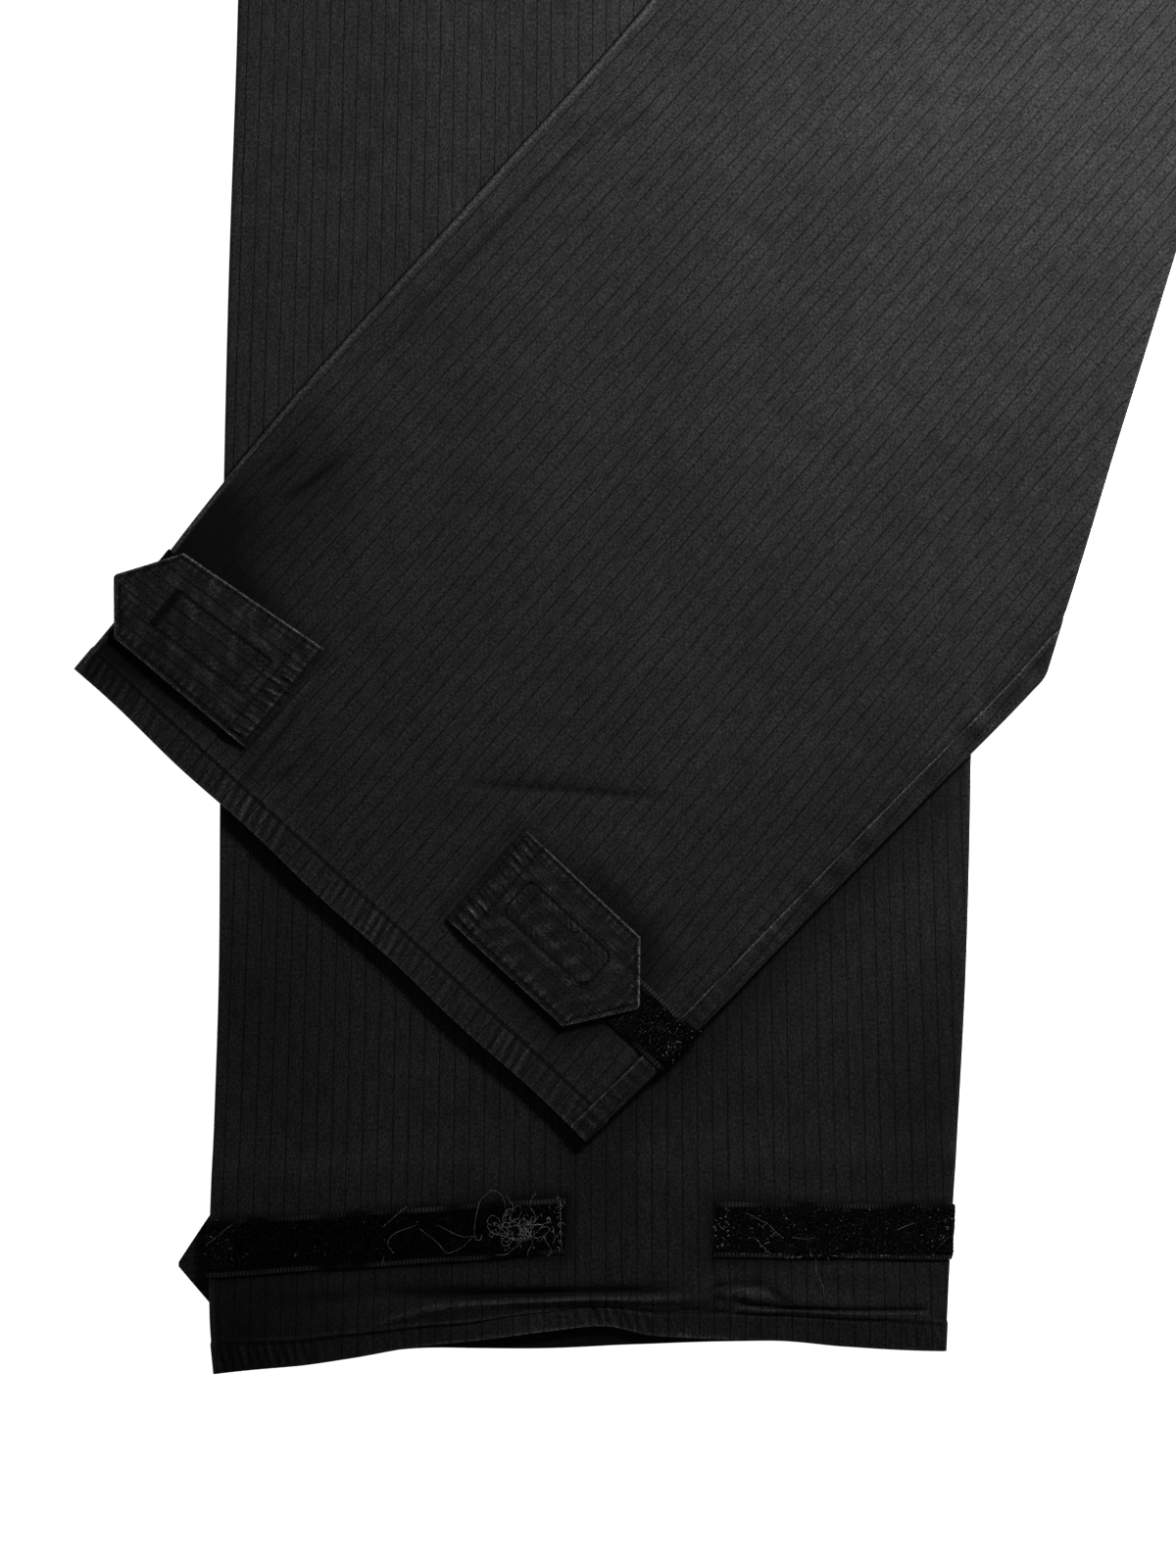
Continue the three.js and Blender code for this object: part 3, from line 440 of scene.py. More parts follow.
def hem_puckers(inward, up, line, seed):
    """Roping of a stitched hem: short ripples across it that end at the stitch line."""
    rng = np.random.default_rng(seed)
    slant = inward + 0.22 * up
    drift = 2.2 * np.sin(slant / 37.0 + rng.uniform(0, 6)) + 1.1 * np.sin(slant / 13.0 + rng.uniform(0, 6))
    coarse = wave(slant + drift, 4.6)
    broad = wave(slant - 0.7 * drift, 11.3, rng.uniform(0, 6))
    strength = 0.7 + 0.3 * np.sin(slant / 19.0 + rng.uniform(0, 6)) * np.sin(slant / 43.0)
    band = step01((up + 2) / 5) * (1 - step01((up - line + 0.5) / 2.5))
    return (0.25 * coarse + 0.08 * broad) * strength * band


def seam_puckers(along, across, width, pitch, seed):
    """Ripples across a narrow stitched strip."""
    rng = np.random.default_rng(seed)
    p = rng.uniform(0, 6)
    coarse = wave(along, pitch, 1.5 * np.sin(along / 29.0 + p))
    fine = wave(along, pitch * 0.57, p + 1.2 * np.sin(along / 17.0))
    return (coarse + 0.6 * fine) * bell(across, 0, width)


def tab_span(spec, along):
    """Width of a tab, the place of its middle, and how steeply its edge runs, at distances from its base."""
    shape = TAB_SHAPES[spec["edge"]]
    narrowed = np.clip((along - shape["shoulder"]) / (shape["tip"] - shape["shoulder"]), 0, 1)
    wide = lerp(shape["base"], shape["wide"], np.clip(along / shape["shoulder"], 0, 1))
    slope = np.where(narrowed > 0, TIP_SLOPE, 1.0)
    return lerp(wide, TAB_TIP_WIDTH, narrowed), shape["tip_aside"] * narrowed, slope


def tab_shade(leg_name, up, inward, width):
    """Painted shade as a dark soft band beside the tabs, and the ridge and groove past a tab's base, with
    painted shade in the groove and at the base. Gives tone and height.
    """
    tone, height = 0.0, 0.0
    for spec in of_leg(TABS, leg_name):
        turn = math.radians(spec["turn"])
        from_edge = inward if spec["edge"] == "outer" else width - inward
        across, above = from_edge - spec["base"], up - spec["up"]
        slanted = above * math.sin(turn) - across * math.cos(turn)
        aside = across * math.sin(turn) + above * math.cos(turn)
        along = slanted + TAB_SHAPES[spec["edge"]]["slant"] * aside
        span, middle, slope = tab_span(spec, along)
        beside = np.maximum((np.abs(aside - middle) - span / 2) * slope, 0)
        toward_tip = step01((along + 2) / 60)
        reach = 4.0 + 6.5 * toward_tip
        within = step01((along + 6) / 8) * (along < TAB_SHAPES[spec["edge"]]["tip"] + 4)
        near = bell(beside, 0, reach) * within
        tone = tone - (0.3 + 0.45 * toward_tip) * near
        in_line = 1 - step01((np.abs(aside) - span / 2 - 1) / 4)
        past = bell(along, -5.0, 1.3) * in_line
        height = height - 0.5 * past + 0.4 * bell(along, -2.2, 1.4) * in_line
        tone = tone - 0.4 * past - 0.35 * bell(along, -0.4, 0.7) * in_line
    return tone, height


def tape_shade(leg_name, up, inward, width):
    """Painted shade: a dark line along the tapes where the cloth dips beside them."""
    tone = 0.0
    for spec in of_leg(TAPES, leg_name):
        way = (inward if spec["edge"] == "outer" else width - inward) - EDGE_RADIUS
        middle = lerp(spec["up_edge"], spec["up_front"], np.clip(way / spec["front"], 0, 1))
        below = middle - TAPE_WIDTH / 2 - up
        above = up - middle - TAPE_WIDTH / 2
        past = way - spec["front"]
        outside = np.hypot(np.maximum(np.maximum(below, above), 0), np.maximum(past, 0))
        reach = 1.6 + 3.0 * bell(way, spec["front"], 40)
        tone = tone - 0.6 * bell(outside, 0, reach)
    return tone


# Darker patches painted on the cloth as shade.
def painted_shade_tone(key, inward, up):
    return -sum(strength * bell(inward, across, wide) * bell(up, above, tall)
                for across, above, wide, tall, strength in PAINTED_SHADE_PATCHES.get(key, []))


def panel_relief(leg_name, side, up, inward, width):
    """Height of folds, puckers and stitch grooves over a panel's flat skin, and its tone: painted light and
    painted shade on the creases and hem puckers, painted shade in the stitch groove and painted light on the
    ridge beside it.
    """
    line = hem_line(leg_name, side, inward)
    creases = LEGS[leg_name]["creases"][side]
    sharp = creases_at([c for c in creases if c[2] < SHARP_CREASE], inward, up)
    soft = creases_at([c for c in creases if c[2] >= SHARP_CREASE], inward, up)
    soft = soft + ripples(inward, up, SEEDS[leg_name])
    rope = hem_puckers(inward, up, line, SEEDS[leg_name] + 2)
    rope = rope * (0.8 + 0.35 * np.sin(inward / 13.0) + 0.2 * np.sin(inward / 5.9 + 1.0))
    if leg_name == "right":
        rope = rope * (0.4 + 0.6 * (1 - step01((inward - 60) / 50)) + 0.25 * np.sin(inward / 23.0))
    groove = bell(up, line, 0.8)
    beside = bell(up - line, 1.7, 1.0)
    # Tone: painted light on raised creases and pucker crests, painted shade in their hollows and in the
    # stitch groove, painted light on the ridge beside it.
    tone = 0.62 * sharp + 2.3 * rope - 0.8 * groove + 0.2 * beside
    height = sharp + soft + rope - 0.5 * groove + 0.15 * beside
    if side < 0:
        near_strip = width - inward - FELL_WIDTH
        seam = 0.15 * seam_puckers(up, near_strip, 8.0, 6.3, 3) * (up < INSEAM)
        dip = bell(near_strip, 2.2, 1.1) * (up < INSEAM)
        shade, raised = tab_shade(leg_name, up, inward, width)
        # Painted light and painted shade on the fell seam's puckers, painted shade in the dip beside the
        # strip and beside the tabs.
        tone = tone + 1.2 * seam - 0.3 * dip + shade
        height = height + seam - 0.45 * dip + raised
        if leg_name == "left":
            # Left back: a pale worn line along the outer edge, and painted shade along the hem's stitch
            # line.
            tone = tone + 0.5 * bell(inward, 1.8, 0.9) - 0.5 * bell(up, line, 0.5)
    else:
        tone = tone + tape_shade(leg_name, up, inward, width)
        if leg_name == "right":
            # Painted shadow of the folded leg on the straight leg, wider and darker right of its tip.
            x, y, _, _ = plan(LEGS[leg_name], up, inward)
            from_flap, _ = path_distance(FLAP_EDGE, x, y)
            right_of_tip = step01((x - FLAP_EDGE[1][0] + 10) / 40)
            tone = tone - lerp(0.2, 0.62, right_of_tip) * bell(from_flap, 0, lerp(15, 22, right_of_tip))
    # Painted shade patches darken the tone further.
    return height, np.clip(tone + painted_shade_tone((leg_name, side), inward, up), -0.9, 0.9)


def panel_surface(leg_name, side, up, inward, out):
    """A point on a panel's flat part, out from its skin. Gives layout x, y, height in the leg and lift."""
    leg = LEGS[leg_name]
    up, inward = np.broadcast_arrays(up, inward)
    _, _, share, width = plan(leg, up, inward)
    clear = step01((np.minimum(inward, width - inward) - EDGE_RADIUS) / 5)
    bump, _ = panel_relief(leg_name, side, up, inward, width)
    if (leg_name, side) == ("right", -1):
        bump = np.minimum(bump, 0.0)
    height = EDGE_RADIUS + side * (EDGE_RADIUS + out + bump * clear)
    return finish_point(leg, side, up, inward, share, height)


def finish_point(leg, side, up, inward, share, height):
    rise = 0.0
    if leg["rise"] is not None:
        rise = curve(leg["rise"], np.clip(share, 0, 1), 2 if side > 0 else 1)
        rise = rise * (1 - step01(up / HEM_RISE_FADE))
    uneven = 0.5 * np.sin(inward / 14.0) * np.exp(-up / 6.0)
    x, y, _, _ = plan(leg, up + rise + uneven, inward)
    return stacked(x, y, height, lift_at(leg, share, up))


def past_fold(p):
    """Distance past the line where the fold starts to bend."""
    return ((p[..., 0] - FOLD_EDGE[0]) * FOLD_ACROSS[0] + (p[..., 1] - FOLD_EDGE[1]) * FOLD_ACROSS[1]
            + FOLD_AXIS)


def settle(leg_name, p, floor=0.0):
    """Layout points with height and lift to places in the row frame, in metres."""
    p = np.asarray(p, float)
    x, y, z, lift = (p[..., k] for k in range(4))
    if LEGS[leg_name]["folded"]:
        past = past_fold(p)
        away = FOLD_AXIS - z
        angle = np.clip(past / FOLD_NEUTRAL, 0, math.pi)
        bent = (past > 0) & (past < FOLD_ARC)
        shifted = np.where(past <= 0, past, np.where(bent, away * np.sin(angle), FOLD_ARC - past))
        height = np.where(past <= 0, z, FOLD_AXIS - away * np.cos(angle))
        x = x + (shifted - past) * FOLD_ACROSS[0]
        y = y + (shifted - past) * FOLD_ACROSS[1]
        drop = DROP_HEIGHT * np.interp(x, DROP[:, 0], DROP[:, 1])
        z = height - np.where(past > 0, drop, 0)
    z = np.maximum(z + lift, floor)
    return np.stack([(x + CROTCH[0]) / 1000, (y + CROTCH[1]) / 1000, z / 1000], -1)


def grain(leg_name, p):
    """Distance across the stripes and along them, in metres, for layout points."""
    lean, middle, narrowing, level = GRAIN[leg_name]
    across, along = turned(p[..., 0], p[..., 1], math.radians(lean))
    return np.stack([(across - middle) * np.exp(narrowing * (along + level)), along], -1) / 1000


def make_object(name, verts, faces, material):
    mesh = bpy.data.meshes.new(name)
    mesh.from_pydata([tuple(v) for v in verts], [], faces)
    mesh.materials.append(material)
    obj = bpy.data.objects.new(name, mesh)
    bpy.context.scene.collection.objects.link(obj)
    return obj


def shell(name, leg_name, outer, inner, material, uv=None, wear_and_shade_tone=None, inside=0.0, fold_lines=True):
    """A closed wall between two grids of layout points, cut and bent at the fold, as an object."""
    rows, columns = outer.shape[:2]
    count = rows * columns
    points = np.concatenate([outer.reshape(-1, 4), inner.reshape(-1, 4)])
    a = (np.arange(rows - 1)[:, None] * columns + np.arange(columns - 1)).ravel()
    quads = [np.stack([a, a + 1, a + columns + 1, a + columns], -1),
             np.stack([a, a + columns, a + columns + 1, a + 1], -1) + count]
    low, first = np.arange(columns - 1), np.arange(rows - 1) * columns
    top, last = low + (rows - 1) * columns, first + columns - 1
    for p, q in ((low + 1, low), (top, top + 1), (first, first + columns), (last + columns, last)):
        quads.append(np.stack([p, q, q + count, p + count], -1))
    faces = np.concatenate(quads)
    mesh = bpy.data.meshes.new(name)
    mesh.from_pydata(points[:, :3], [], faces.tolist())
    grain_uv = (grain(leg_name, points) if uv is None else np.concatenate([uv.reshape(-1, 2)] * 2))
    # Tone per point: wear with painted light and painted shade on the outer face; the inner face gets one
    # even value, painted shade on the panels.
    wear_and_painted_shade = np.zeros(len(points))
    if wear_and_shade_tone is not None:
        wear_and_painted_shade = np.concatenate([wear_and_shade_tone.ravel(), np.full(count, inside)])
    for label, values in (("lift", points[:, 3]), ("wear_and_painted_shade", wear_and_painted_shade)):
        layer = mesh.attributes.new(label, "FLOAT", "POINT")
        layer.data.foreach_set("value", np.ascontiguousarray(values, np.float32))
    layer = mesh.uv_layers.new(name="grain")
    loops = np.empty(len(mesh.loops), np.int32)
    mesh.loops.foreach_get("vertex_index", loops)
    layer.data.foreach_set("uv", grain_uv[loops].ravel().astype(np.float32))
    if LEGS[leg_name]["folded"] and fold_lines:
        bm = bmesh.new()
        bm.from_mesh(mesh)
        normal = Vector((FOLD_ACROSS[0], FOLD_ACROSS[1], 0))
        base = Vector((FOLD_EDGE[0], FOLD_EDGE[1], 0)) - normal * FOLD_AXIS
        for i in range(11):
            at = base + normal * (FOLD_ARC * i / 10)
            bmesh.ops.bisect_plane(
                bm, geom=bm.verts[:] + bm.edges[:] + bm.faces[:], dist=1e-5, plane_co=at, plane_no=normal)
        bm.to_mesh(mesh)
        bm.free()
    total = len(mesh.vertices)
    flat = np.empty(total * 3, np.float32)
    mesh.vertices.foreach_get("co", flat)
    lift = np.empty(total, np.float32)
    mesh.attributes["lift"].data.foreach_get("value", lift)
    placed = settle(leg_name, np.concatenate([flat.reshape(-1, 3), lift[:, None]], 1))
    mesh.vertices.foreach_set("co", placed.astype(np.float32).ravel())
    mesh.attributes.remove(mesh.attributes["lift"])
    mesh.materials.append(material)
    mesh.update()
    check = bmesh.new()
    check.from_mesh(mesh)
    if check.calc_volume(signed=True) < 0:
        bmesh.ops.reverse_faces(check, faces=check.faces[:])
        check.to_mesh(mesh)
    check.free()
    mesh.shade_smooth()
    mesh.set_sharp_from_angle(angle=math.radians(48))
    obj = bpy.data.objects.new(name, mesh)
    bpy.context.scene.collection.objects.link(obj)
    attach(obj, "root")
    return obj


# Materials

def new_material(name):
    material = bpy.data.materials.new(name)
    material.use_nodes = True
    nodes = material.node_tree.nodes
    nodes.clear()
    out = nodes.new("ShaderNodeOutputMaterial")
    shader = nodes.new("ShaderNodeBsdfPrincipled")
    links = material.node_tree.links
    links.new(shader.outputs["BSDF"], out.inputs["Surface"])
    return material, Nodes(nodes, links), shader


class Nodes:
    """Short calls for building a shader's maths."""

    def __init__(self, nodes, links):
        self.nodes, self.links = nodes, links

    def put(self, socket, value):
        if isinstance(value, bpy.types.NodeSocket):
            self.links.new(value, socket)
        else:
            socket.default_value = value

    def math(self, operation, a, b=0.0):
        node = self.nodes.new("ShaderNodeMath")
        node.operation = operation
        for socket, value in zip(node.inputs, (a, b)):
            self.put(socket, value)
        return node.outputs[0]

    def add(self, a, b):
        return self.math("ADD", a, b)

    def subtract(self, a, b):
        return self.math("SUBTRACT", a, b)

    def times(self, a, b):
        return self.math("MULTIPLY", a, b)

    def grain_place(self):
        """The cloth's own place, with the distances across and along the grain."""
        uv = self.nodes.new("ShaderNodeUVMap")
        uv.uv_map = "grain"
        split = self.nodes.new("ShaderNodeSeparateXYZ")
        self.put(split.inputs[0], uv.outputs["UV"])
        return uv.outputs["UV"], split.outputs[0], split.outputs[1]

    def object_place(self):
        return self.nodes.new("ShaderNodeTexCoord").outputs["Object"]

    def wear_and_painted_shade(self):
        """How much paler (above 0) or darker (below 0) the colour is made by wear, by painted contact shade
        and by painted light on folds and puckers.
        """
        node = self.nodes.new("ShaderNodeAttribute")
        node.attribute_name = "wear_and_painted_shade"
        return node.outputs["Fac"]

    def noise(self, vector, scale, detail=2.0, rough=0.5):
        node = self.nodes.new("ShaderNodeTexNoise")
        self.put(node.inputs["Vector"], vector)
        node.inputs["Scale"].default_value = scale
        node.inputs["Detail"].default_value = detail
        node.inputs["Roughness"].default_value = rough
        return node.outputs["Fac"]

    def remap(self, value, a, b, c, d):
        node = self.nodes.new("ShaderNodeMapRange")
        self.put(node.inputs["Value"], value)
        for socket, v in zip(list(node.inputs)[1:5], (a, b, c, d)):
            socket.default_value = v
        return node.outputs["Result"]

    def mix(self, share, a, b):
        node = self.nodes.new("ShaderNodeMix")
        node.data_type = "RGBA"
        self.put(node.inputs[0], share)
        self.put(node.inputs[6], a)
        self.put(node.inputs[7], b)
        return node.outputs[2]

    def scale(self, colour, factor):
        node = self.nodes.new("ShaderNodeVectorMath")
        node.operation = "SCALE"
        self.put(node.inputs[0], colour)
        self.put(node.inputs["Scale"], factor)
        return node.outputs[0]

    def combine(self, x, y, z=0.0):
        node = self.nodes.new("ShaderNodeCombineXYZ")
        for socket, value in zip(node.inputs, (x, y, z)):
            self.put(socket, value)
        return node.outputs[0]

    def bump(self, height, strength, distance):
        node = self.nodes.new("ShaderNodeBump")
        node.inputs["Strength"].default_value = strength
        node.inputs["Distance"].default_value = distance
        self.put(node.inputs["Height"], height)
        return node.outputs["Normal"]


def finish(shader, rough, specular, sheen=0.0, sheen_rough=0.5):
    for socket, value in (("Roughness", rough), ("Specular IOR Level", specular),
                          ("Sheen Weight", sheen), ("Sheen Roughness", sheen_rough)):
        shader.inputs[socket].default_value = value


def twill(name, stripes=1.0, base=0.0094, fray=0.0):
    """Brushed charcoal twill with thin dark stripes along the grain, paler where it is worn or painted
    lighter, darker under painted shade.
    """
    material, n, shader = new_material(name)
    place, u, v = n.grain_place()
    drift = n.subtract(n.noise(n.combine(n.times(u, 3.0), v), 24.0), 0.5)
    lane = n.math("DIVIDE", n.add(u, n.times(drift, 0.0005)), STRIPE_PITCH / 1000)
    off_line = n.subtract(0.5, n.math("ABSOLUTE", n.subtract(n.math("FRACT", lane), 0.5)))
    line = n.remap(off_line, 0.022, 0.062, 1.0, 0.0)
    broken = n.noise(n.combine(n.times(u, 40.0), n.times(v, 5.0)), 18.0, 3.0)
    line = n.times(n.times(line, n.remap(broken, 0.28, 0.6, 0.6, 1.0)), stripes)
    # Twill ridges lean one way in one lane and the other way in the next
    lane_side = n.math("GREATER_THAN", n.math("FRACT", n.times(lane, 0.5)), 0.5)
    turn = n.subtract(n.times(lane_side, 2.0), 1.0)
    diagonal = n.add(n.times(n.times(u, turn), 1.15), v)
    ridge = n.math("SINE", n.times(diagonal, 2000 * math.pi / TWILL_PITCH))
    thread = n.noise(n.combine(u, n.times(v, 0.6)), 1150.0, 3.0, 0.65)
    slub = n.noise(n.combine(u, n.times(v, 0.2)), 420.0, 3.0, 0.6)
    cloud = n.noise(place, 16.0, 4.0, 0.55)
    patch = n.noise(place, 75.0, 4.0, 0.6)
    tone = n.remap(thread, 0.34, 0.66, 0.2, 1.8)
    for value, spread in ((slub, 0.34), (cloud, 0.16), (patch, 0.12)):
        tone = n.times(tone, n.remap(value, 0.28, 0.72, 1 - spread, 1 + spread))
    tone = n.times(tone, n.add(1.0, n.times(ridge, 0.1)))
    tone = n.times(tone, n.subtract(1.0, n.times(line, 0.82)))
    # Above 0, wear and painted light make the cloth paler; below 0, painted shade makes it darker.
    wear_and_painted_shade = n.wear_and_painted_shade()
    uneven = n.remap(n.noise(place, 800.0, 2.0, 0.6), 0.32, 0.68, 0.35, 1.65)
    paler = n.times(n.math("MAXIMUM", wear_and_painted_shade, 0.0), n.times(uneven, 2.2 + fray))
    darker = n.math("MAXIMUM", n.add(1.0, n.math("MINIMUM", wear_and_painted_shade, 0.0)), 0.08)
    tone = n.times(tone, n.times(n.add(1.0, paler), darker))
    colour = n.scale((base, base, base * 1.035), tone)
    # A few pale specks of dust
    speck = n.nodes.new("ShaderNodeTexVoronoi")
    speck.inputs["Scale"].default_value = 62.0
    n.put(speck.inputs["Vector"], place)
    seldom = n.nodes.new("ShaderNodeSeparateColor")
    n.put(seldom.inputs[0], speck.outputs["Color"])
    tiny = n.math("LESS_THAN", speck.outputs["Distance"], 0.012)
    dust = n.times(tiny, n.math("GREATER_THAN", seldom.outputs[0], 0.9))
    colour = n.mix(n.times(dust, 0.5), colour, (0.08, 0.08, 0.078, 1))
    n.put(shader.inputs["Base Color"], colour)
    finish(shader, 0.9, 0.06, 0.012, 0.6)
    relief = n.add(n.times(ridge, 0.2), n.times(thread, 1.0))
    relief = n.subtract(relief, n.times(line, 0.9))
    n.put(shader.inputs["Normal"], n.bump(relief, 0.7, 0.00025))
    return material


def tape_material(name, base=0.0009):
    """Black loop pile: speckled and matt, with ribbed paler selvedges."""
    material, n, shader = new_material(name)
    place, u, v = n.grain_place()
    pile = n.noise(place, 1000.0, 3.0, 0.6)
    tuft = n.noise(place, 160.0, 3.0, 0.6)
    fuzzy = n.add(1.0, n.times(n.wear_and_painted_shade(), 1.6))
    speckle = n.times(n.remap(pile, 0.54, 0.7, 0.3, 7.0), fuzzy)
    border = TAPE_WIDTH / 2000 - 0.0024
    selvedge = n.remap(n.math("ABSOLUTE", v), border, border + 0.0008, 0.0, 1.0)
    rib = n.math("SINE", n.times(u, 2 * math.pi / 0.0017))
    column = n.math("SINE", n.times(u, 2 * math.pi / 0.0028))
    tone = n.times(speckle, n.remap(tuft, 0.35, 0.65, 0.4, 1.7))
    tone = n.times(tone, n.add(1.0, n.times(column, 0.22)))
    patchy = n.remap(n.noise(place, 34.0, 2.0), 0.42, 0.6, 2.0, 14.0)
    ribbed = n.times(patchy, n.add(1.0, n.times(rib, 0.6)))
    both = n.add(n.times(tone, n.subtract(1.0, selvedge)), n.times(ribbed, selvedge))
    n.put(shader.inputs["Base Color"], n.scale((base, base, base * 1.05), both))
    finish(shader, 0.95, 0.01, 0.003)
    relief = n.add(pile, n.times(tuft, 0.6))
    n.put(shader.inputs["Normal"], n.bump(relief, 0.9, 0.0005))
    return material


def plain_fibre(name, colour, rough=0.6, spread=0.35):
    """Thread or hair, uneven in tone along its length."""
    material, n, shader = new_material(name)
    tone = n.remap(n.noise(n.object_place(), 420.0, 2.0), 0.3, 0.7, 1 - spread, 1 + spread)
    n.put(shader.inputs["Base Color"], n.scale(colour, tone))
    finish(shader, rough, 0.1)
    return material


def button_material(name):
    material, n, shader = new_material(name)
    mottled = n.noise(n.object_place(), 260.0, 4.0, 0.6)
    n.put(shader.inputs["Base Color"], n.scale((0.012, 0.012, 0.013), n.remap(mottled, 0.3, 0.7, 0.6, 1.6)))
    n.put(shader.inputs["Roughness"], n.remap(mottled, 0.3, 0.7, 0.3, 0.5))
    n.put(shader.inputs["Normal"], n.bump(mottled, 0.2, 0.0002))
    return material


def floor_material(name):
    material, n, shader = new_material(name)
    fine = n.noise(n.object_place(), 60.0, 3.0)
    n.put(shader.inputs["Base Color"], n.scale((0.9, 0.9, 0.9), n.remap(fine, 0.3, 0.7, 0.995, 1.005)))
    shader.inputs["Emission Color"].default_value = (1, 1, 1, 1)
    shader.inputs["Emission Strength"].default_value = 1.0
    finish(shader, 0.9, 0.1)
    return material


CLOTH = twill("charcoal_twill")
TAB_CLOTH = twill("tab_twill", stripes=0.8, base=0.0066, fray=3.4)
TAPE = tape_material("loop_tape")
HOOKS = tape_material("hook_tape")
THREAD = plain_fibre("black_thread", (0.0048, 0.0048, 0.005), 0.6, 0.6)
PILE = plain_fibre("tape_pile", (0.0055, 0.0055, 0.006), 0.7, 0.9)
LINT = plain_fibre("pale_lint", (0.26, 0.257, 0.25), 0.7, 0.6)
BUTTON = button_material("button")


# Panels

def spaced(stops):
    """Levels from a list of (end, spacing), starting at 0."""
    levels = [0.0]
    for end, spacing in stops:
        count = max(1, int(round((end - levels[-1]) / spacing)))
        start = levels[-1]
        levels += [lerp(start, end, (i + 1) / count) for i in range(count)]
    return np.array(levels)


PANEL_UPS = spaced([(10, 1.1), (15, 0.55), (50, 1.9), (150, 3.4), (400, 9.0),
                    (INSEAM - FELL_FADE, 14.0), (INSEAM, 5.0), (WAIST_SEAM, 16.0)])
SHOWN = {("right", 1), ("left", -1)}
SHOWN_STEPS, HIDDEN_STEPS = 288, 84
BAND_ROWS = 16


def hem_wear(leg_name, side, ups, inward):
    """Pale line where the hem's edge has rubbed."""
    strength = 0.5
    if (leg_name, side) == ("right", 1):
        strength = 0.3 + 0.9 * step01((inward - 85) / 20) * (1 - step01((inward - 236) / 8))
    return strength * bell(ups, 0, 0.9)


def panel_points(leg_name, side, out, skin_raise):
    """Grid of layout points on a panel's outer face (out 0) or inner one, with its tone: wear, painted shade
    and painted light.
    """
    leg = LEGS[leg_name]
    ups = PANEL_UPS[:, None]
    _, _, _, width = plan(leg, ups, 0.0)
    wrapped = np.clip((INSEAM - ups) / FELL_FADE, 0, 1)
    hem = HEM_RAISE * np.clip((HEM_DEPTH + 1 - ups) / 1.5, 0, 1) * skin_raise
    margin = FELL_WIDTH + SEAM_GAP if side < 0 else 0.0
    # Out seam at the side edge
    edge_ways = np.concatenate([[EDGE_START], np.linspace(0.22, 1, 6) * QUARTER_TURN])
    inward, height = round_edge(side * edge_ways[None, :], out + hem)
    start = finish_point(leg, side, ups, inward, inward / width, height)
    start_tone = np.zeros(start.shape[:2]) + (0.6 if (leg_name, side) == ("left", -1) else 0.0)
    # Flat middle
    steps = SHOWN_STEPS if (leg_name, side) in SHOWN else HIDDEN_STEPS
    t = (np.arange(1, steps + (1 if side < 0 else 0)) / steps)[None, :]
    full = lerp(EDGE_RADIUS, width - EDGE_RADIUS - margin, t)
    body = lerp(EDGE_RADIUS, width - (0.0 if side < 0 else 7.0), t)
    inward = lerp(body, full, wrapped)
    middle = panel_surface(leg_name, side, ups, inward, out + hem)
    _, middle_tone = panel_relief(leg_name, side, ups, inward, width)
    if side < 0:
        end = lerp(width, width - EDGE_RADIUS - margin, wrapped)
        last = finish_point(leg, side, ups, end, end / width, EDGE_RADIUS + side * (EDGE_RADIUS + out + hem))
        last_tone = np.zeros(last.shape[:1] + (1,))
        last = last.reshape(len(PANEL_UPS), 1, 4)
    else:
        across = np.array([0.3, 1.5, 3, 4.5, 6, 7, 7.6, 8.1, FELL_WIDTH])
        ways = np.concatenate([np.linspace(1, -1, 13) * QUARTER_TURN, -(QUARTER_TURN + across)])[None, :]
        over = np.maximum(-ways - QUARTER_TURN, 0)
        raised = 0.0
        last_tone = np.zeros((len(PANEL_UPS), ways.shape[1]))
        if leg["folded"]:
            ridge = 0.24 * seam_puckers(ups, over - 5, 10.0, 6.3, 3)
            edge_round = -0.2 * bell(over, FELL_WIDTH, 0.5)
            shown = np.clip((300 - ups) / 70, 0, 1) * (over > 0)
            raised = (FELL_RAISE + ridge + edge_round) * shown * skin_raise
            # Pale border line of the fell strip, darker along its middle, with painted light and painted
            # shade on its puckers.
            border = 1.3 * bell(over - FELL_WIDTH, -0.3, 0.45)
            last_tone = (border - 0.3 * bell(over, 4, 3) + 1.2 * ridge) * (over > 0)
        inward_way, height = round_edge(ways, out + hem + raised)
        flat = (ways.shape[1] - 1 - np.arange(ways.shape[1]))[None, :] * 0.34
        flat_height = EDGE_RADIUS + side * (EDGE_RADIUS + out)
        end = width - lerp(flat, inward_way, wrapped)
        last = finish_point(leg, side, ups, end, end / width, lerp(flat_height, height, wrapped))
    inward = np.concatenate([np.zeros(start.shape[:2]), inward, end], 1)
    points = np.concatenate([start, middle, last], 1)
    tone = np.concatenate([start_tone, middle_tone, last_tone], 1)
    return points, tone + hem_wear(leg_name, side, ups, inward)


cloth = {}


def dress(piece, name):
    """The piece stands for the solid of that name."""
    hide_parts(name)
    cloth[name] = piece


for leg_name in ("right", "left"):
    for side in (1, -1):
        outer, wear_and_shade_tone = panel_points(leg_name, side, 0.0, 1.0)
        inner, _ = panel_points(leg_name, side, -WALL, 0.0)
        name = f"{leg_name}_{'front' if side > 0 else 'back'}"
        # The panels' inner faces are darkened by 0.8 as painted shade.
        dress(shell(f"cloth_{name}", leg_name, outer, inner, CLOTH, wear_and_shade_tone=wear_and_shade_tone, inside=-0.8), name)


# Waistband

